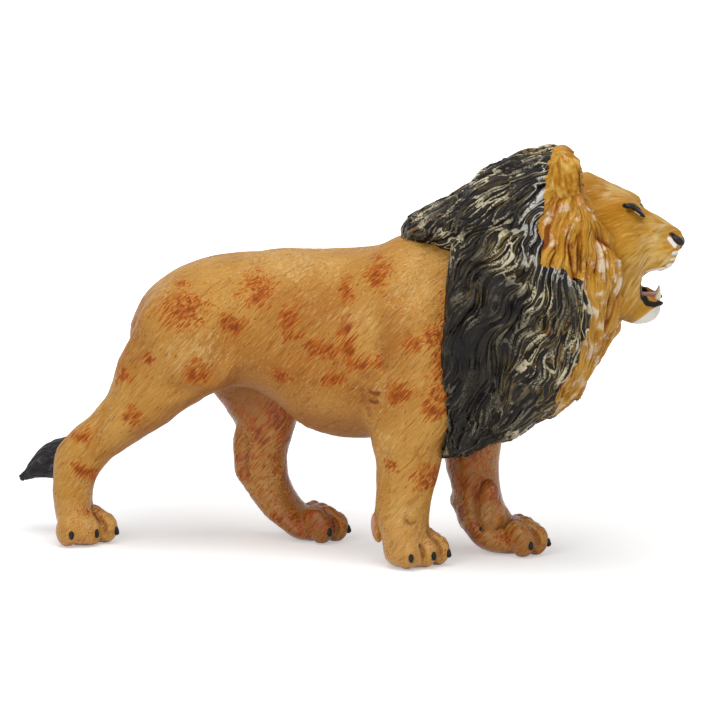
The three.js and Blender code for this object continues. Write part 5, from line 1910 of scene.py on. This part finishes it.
def make_ears(look):
    material = ear_paint(look)
    for side, hand in SIDES:
        u, v, z = EAR_SPOT
        if side > 0:
            u, z = u + FAR_EAR_SHIFT[0], z + FAR_EAR_SHIFT[1]
        spot = (u, side * v, z)
        sculpt = Sculpt(*box_round(spot, (10, 10, 12)), cubes(0.28))
        add_eggs(sculpt, EAR_EGGS, side, spot)
        add_strokes(sculpt, EAR_GROOVE, side, spot)
        x, y, up = EAR_EGGS[-1][:3]
        cup = (u + x, side * (v + y), z + up)
        small_piece(f"ear_{hand}_leaf", sculpt, material, f"ear_{hand}",
                    lambda skin, cup=cup: hair_on_ear(skin, cup))


# Eyes, nose, tongue and teeth

# Beads of an eye, eggs of the nose's middle and of one side of it, from their own spots
EYE_EGGS = [
    (0.6, 0, -0.5, 3.3, 1.8, 0.85, EYE_SLANT, -16, 0), (-2.2, 0.3, 1.5, 2.3, 1.8, 0.95, -6, -16, 0.6),
]
# Line of the eye's glint, seen from the side: a painted highlight in white
GLINT_LINE = [(26.8, 124.2), (28.4, 123.0)]
NOSE_EGGS = [(0, 0, 0.6, 3.1, 4.4, 1.9, -30, 0, 0), (0.4, 0, -1.2, 1.9, 2.8, 2.3, -10, 0, 0.9)]
NOSTRIL_EGGS = [
    (0.3, 3.6, 0.7, 2.7, 1.9, 1.3, -34, 8, 0.5), (1.9, 2.9, -0.4, 1.4, 1.1, 0.7, 10, 24, -0.3),
]
NOSTRIL_GROOVE = [([(1.8, 3.2, -0.6), (0.6, 4.6, -0.2)], 0.4, -0.4)]
NOSE_GROOVE = [([(3, 0, 1), (2.8, 0, -1.5), (1.8, 0, -3.6)], 0.35, -0.35)]
TONGUE_EGGS = [(30.2, 0, 92.6, 5.9, 3.8, 1.7, 6, 0, 0), (26.2, 0, 92.4, 4.4, 3.4, 2, 12, 0, 1.5)]
TONGUE_GROOVE = [([(24, 0, 94.4), (30, 0, 94.4), (35, 0, 94.2)], 0.6, -0.5)]
# The lower canines: distance from the middle, then the tooth's line from root to tip, whose
# second number is a share of that distance, and its radii
CANINE_SIDE = 3.6
CANINE_LINE = [(33.6, 0.95, 89.4), (34.4, 1, 92.2), (35.3, 1.02, 94.4), (35.5, 1, 96.0)]
CANINE_RADII = [1.2, 1.4, 1.0, 0.25]


def mark_glint(skin):
    along, _, up = skin.vertices.T
    skin.marks["glint"] = ramp(0.42 - beside_path(GLINT_LINE, along, up), 0, 0.2)


def make_eyes(look):
    """Long slanted beads with a small glint on their lower edge."""
    paint = Paint("eye_black", 0.3, 0.2)
    dark = paint.mottled(0.8, 0.4, 0.6, look.black, shade(34, 25, 20))
    material = paint.finish(paint.mixed(paint.mark("glint"), dark, look.white))
    for side, hand in SIDES:
        u, v, z = EYE_SPOT
        spot = (u, side * v, z - max(side, 0) * FAR_EYE_DROP)
        sculpt = Sculpt(*box_round(spot, (7, 5, 6)), cubes(0.16))
        add_eggs(sculpt, EYE_EGGS, side, spot)
        small_piece(f"eye_{hand}_bead", sculpt, material, f"eye_{hand}", mark_glint)


def make_nose(look):
    paint = Paint("nose_black", 0.35, 0.25)
    colour = paint.mottled(1.2, 0.4, 0.65, look.black, shade(34, 27, 25))
    material = paint.finish(colour, None, paint.blotches(0.5, 3.0), 0.0001)
    u, _, z = NOSE_SPOT
    sculpt = Sculpt((u - 6, -8, z - 7), (u + 5, 8, z + 6), cubes(0.2))
    add_eggs(sculpt, NOSE_EGGS, 1, NOSE_SPOT)
    for side, _ in SIDES:
        add_eggs(sculpt, NOSTRIL_EGGS, side, NOSE_SPOT)
        add_strokes(sculpt, NOSTRIL_GROOVE, side, NOSE_SPOT)
    add_strokes(sculpt, NOSE_GROOVE, 1, NOSE_SPOT)
    small_piece("nose_leather", sculpt, material, "nose_pad")


def make_tongue(look):
    paint = Paint("tongue_pink", 0.35, 0.5, 0.2)
    colour = paint.mottled(1.5, 0.35, 0.7, look.tongue_pink, shade(222, 156, 108))
    material = paint.finish(colour, None, paint.blotches(0.4), 0.00012)
    sculpt = Sculpt((21, -6, 88), (38, 6, 97), cubes(0.25))
    add_eggs(sculpt, TONGUE_EGGS)
    add_strokes(sculpt, TONGUE_GROOVE)
    small_piece("tongue_leaf", sculpt, material, "tongue")


def make_teeth(look):
    paint = Paint("tooth_cream", 0.32, 0.5, 0.2)
    colour = paint.mottled(1.6, 0.3, 0.7, look.tooth_cream, shade(240, 234, 210))
    material = paint.finish(colour, None, paint.blotches(0.8), 0.00006)
    for side, hand in SIDES:
        v = side * CANINE_SIDE
        sculpt = Sculpt((29, v - 3, 88), (39, v + 3, 98), cubes(0.16))
        sculpt.add(cord_form([(x, v * share, z) for x, share, z in CANINE_LINE], CANINE_RADII))
        small_piece(f"canine_{hand}", sculpt, material, f"lower_canine_{hand}")


# Sizes, levels and colours that a user would change


def tint(name, description, red, green, blue):
    """A colour that a user may change, given as it shows on a screen."""
    return FloatVectorProperty(
        name=name, description=description, subtype="COLOR", size=4, min=0, max=1,
        default=shade(red, green, blue))


def length(name, description, default, low, high):
    """A length that a user may change, given in millimetres."""
    return FloatProperty(
        name=name, description=description, default=default * MM, min=low * MM, max=high * MM,
        unit="LENGTH", precision=6)


def level(name, description, default, **limits):
    """A strength, share or distance that a user may change."""
    return FloatProperty(
        name=name, description=description, default=default, **{"min": 0, **limits})


def grain(piece, default):
    return length("Sculpting grain", f"Side of the cubes that the {piece} is sculpted from",
                  default, 0.2, 2.0)


class LionStageSettings(PropertyGroup):
    view_distance: level("View distance", "From the camera to the figure", 5.0, unit="LENGTH", min=0.5)
    room_light: level("Room light", "Light from all round", 0.22)
    top_lamp: level("Lamp above", "Power of the lamp above", 11.0, unit="POWER")
    front_lamp: level("Lamp in front", "Power of the lamp by the camera", 8.5, unit="POWER")
    side_lamp: level("Lamp at the head", "Power of the lamp ahead of the lion", 3.5, unit="POWER")
    floor_half_width: level("Floor half width", "Half the floor's side", 6.0, unit="LENGTH", min=1)
    floor_glow: level("Floor glow", "How far the floor under the figure shows as plain white", 0.38,
                      max=1, subtype="FACTOR")
    floor_white: level("Floor white", "Strength of the plain white round the figure", 1.0)


class LionBodySettings(PropertyGroup):
    grain: grain("body", BODY_STEP)
    hair_depth: length("Hair depth", "How deep the coat's hair lines are cut", 0.07, 0, 0.5)
    claw_size: level("Claw size", "Size of the claws against the real ones", 1.0, min=0.3, max=1.6)
    coat_tan: tint("Coat tan", "Main colour of the coat", 188, 133, 58)
    coat_light: tint("Coat light", "Lighter parts of the coat", 202, 150, 74)
    coat_warm: tint("Coat warm", "Flanks and rump", 166, 102, 38)
    # Pale strokes, partly painted highlight
    coat_pale_highlight: tint("Coat pale", "Pale strokes of the coat", 220, 184, 124)
    # Painted shade of the lower and inner parts, with some ruddier paint
    coat_ruddy_shade: tint("Coat ruddy", "Inner and lower parts of the coat", 134, 74, 32)
    rust: tint("Rust", "Orange brown strokes", 174, 86, 14)
    rust_glaze: tint("Rust glaze", "Thin orange glaze under the strokes", 190, 106, 22)
    # Partly the brown wash of the paint, partly painted shade in the folds and hollows
    fold_wash_and_shade: tint("Fold brown", "Wash in the folds", 124, 62, 26)
    black: tint("Claw black", "Claws", 20, 15, 13)


class LionHairSettings(PropertyGroup):
    grain: grain("mane", MANE_STEP)
    lock_depth: length("Lock depth", "How far the mane's locks stand out", 1.5, 0, 3)
    strand_depth: length("Strand depth", "How far the strands of a lock stand out", 0.85, 0, 2)
    mane_black: tint("Mane black", "Ground of the mane", 17, 12, 10)
    mane_cream: tint("Mane cream", "Dry brushed lines of the mane", 214, 202, 168)
    mane_silver: tint("Mane silver", "Lines of the mane beside the ruff", 204, 202, 196)
    mane_olive: tint("Mane olive", "Olive gold at the front of the mane", 126, 104, 52)
    ruff_ochre: tint("Ruff ochre", "Ground of the ruff", 184, 128, 34)
    ruff_white: tint("Ruff white", "Dry brushed ridges of the ruff", 234, 216, 184)
    ruff_rust: tint("Ruff rust", "Grooves of the ruff", 132, 70, 12)
    tuft_charcoal: tint("Tuft charcoal", "Ground of the tail tuft", 28, 25, 27)
    tuft_grey: tint("Tuft grey", "Ridges of the tail tuft", 112, 107, 112)


class LionHeadSettings(PropertyGroup):
    grain: grain("head", HEAD_STEP)
    fur_depth: length("Fur depth", "How deep the face's fur is cut", 0.09, 0, 0.5)
    face_tan: tint("Face tan", "Main colour of the face", 184, 131, 38)
    face_light: tint("Face light", "Lighter parts of the face", 200, 154, 64)
    # Pale strokes, partly painted highlight
    face_pale_highlight: tint("Face pale", "Pale strokes of the face", 220, 192, 138)
    brow_gold: tint("Brow gold", "Temple and brow", 172, 112, 10)
    # White also paints the eyes' glint, a painted highlight
    white: tint("White", "Chin, lips and whisker dots", 236, 230, 220)
    black: tint("Black", "Eyes, nose and lip rims", 20, 15, 14)
    tongue_pink: tint("Tongue pink", "Tongue", 202, 118, 84)
    tooth_cream: tint("Tooth cream", "Lower canines", 234, 222, 182)


class LION_OT_camera(Operator):
    """Places the camera at the photograph's angle"""

    bl_idname = "lion.camera"
    bl_label = "Camera"

    def execute(self, context):
        place_camera(context.scene.lion_stage)
        return {"FINISHED"}


class LION_OT_stage(Operator):
    """Lays the floor and hangs the lamps"""

    bl_idname = "lion.stage"
    bl_label = "Floor and lamps"

    def execute(self, context):
        light_room(context.scene.lion_stage)
        lay_floor(context.scene.lion_stage)
        context.scene.view_settings.view_transform = "Standard"
        return {"FINISHED"}


class LION_OT_body(Operator):
    """Sculpts the torso shells, the legs and the tail stem"""

    bl_idname = "lion.body"
    bl_label = "Body and legs"

    def execute(self, context):
        make_body(context.scene.lion_body)
        return {"FINISHED"}


class LION_OT_claws(Operator):
    """Sets a claw on every toe"""

    bl_idname = "lion.claws"
    bl_label = "Claws"

    def execute(self, context):
        make_claws(context.scene.lion_body)
        return {"FINISHED"}


class LION_OT_mane(Operator):
    """Sculpts the dark mane and the golden ruff, with their hair"""

    bl_idname = "lion.mane"
    bl_label = "Mane and ruff"

    def execute(self, context):
        make_mane(context.scene.lion_hair)
        return {"FINISHED"}


class LION_OT_tuft(Operator):
    """Sculpts the tail's tuft"""

    bl_idname = "lion.tuft"
    bl_label = "Tail tuft"

    def execute(self, context):
        make_tuft(context.scene.lion_hair)
        return {"FINISHED"}


class LION_OT_head(Operator):
    """Sculpts the head and the lower jaw"""

    bl_idname = "lion.head"
    bl_label = "Head and jaw"

    def execute(self, context):
        make_head(context.scene.lion_head)
        return {"FINISHED"}


class LION_OT_ears(Operator):
    """Sculpts the two cupped ears"""

    bl_idname = "lion.ears"
    bl_label = "Ears"

    def execute(self, context):
        make_ears(context.scene.lion_head)
        return {"FINISHED"}


class LION_OT_eyes(Operator):
    """Sculpts the eyes"""

    bl_idname = "lion.eyes"
    bl_label = "Eyes"

    def execute(self, context):
        make_eyes(context.scene.lion_head)
        return {"FINISHED"}


class LION_OT_mouth(Operator):
    """Sculpts the nose leather, the tongue and the lower canines"""

    bl_idname = "lion.mouth"
    bl_label = "Nose, tongue and teeth"

    def execute(self, context):
        make_nose(context.scene.lion_head)
        make_tongue(context.scene.lion_head)
        make_teeth(context.scene.lion_head)
        return {"FINISHED"}


class LION_PT_panel(Panel):
    """Lists the pieces"""

    bl_idname = "LION_PT_panel"
    bl_label = "Toy lion figure"
    bl_space_type = "VIEW_3D"
    bl_region_type = "UI"
    bl_category = "Lion"

    def draw(self, context):
        for operator in STEPS:
            self.layout.operator(operator.bl_idname)
        for place, group in SETTINGS.items():
            box = self.layout.box()
            for name in group.__annotations__:
                box.prop(getattr(context.scene, place), name)


STEPS = [
    LION_OT_camera, LION_OT_stage, LION_OT_body, LION_OT_claws, LION_OT_mane, LION_OT_tuft,
    LION_OT_head, LION_OT_ears, LION_OT_eyes, LION_OT_mouth,
]
SETTINGS = {"lion_stage": LionStageSettings, "lion_body": LionBodySettings,
            "lion_hair": LionHairSettings, "lion_head": LionHeadSettings}


def register():
    for kind in [*SETTINGS.values(), LION_PT_panel, *STEPS]:
        bpy.utils.register_class(kind)
    for place, group in SETTINGS.items():
        setattr(bpy.types.Scene, place, PointerProperty(type=group))


def unregister():
    for place in SETTINGS:
        delattr(bpy.types.Scene, place)
    for kind in [*STEPS, LION_PT_panel, *SETTINGS.values()]:
        bpy.utils.unregister_class(kind)


def main():
    register()
    for operator in STEPS:
        category, name = operator.bl_idname.split(".")
        getattr(getattr(bpy.ops, category), name)()


if __name__ == "__main__":
    main()
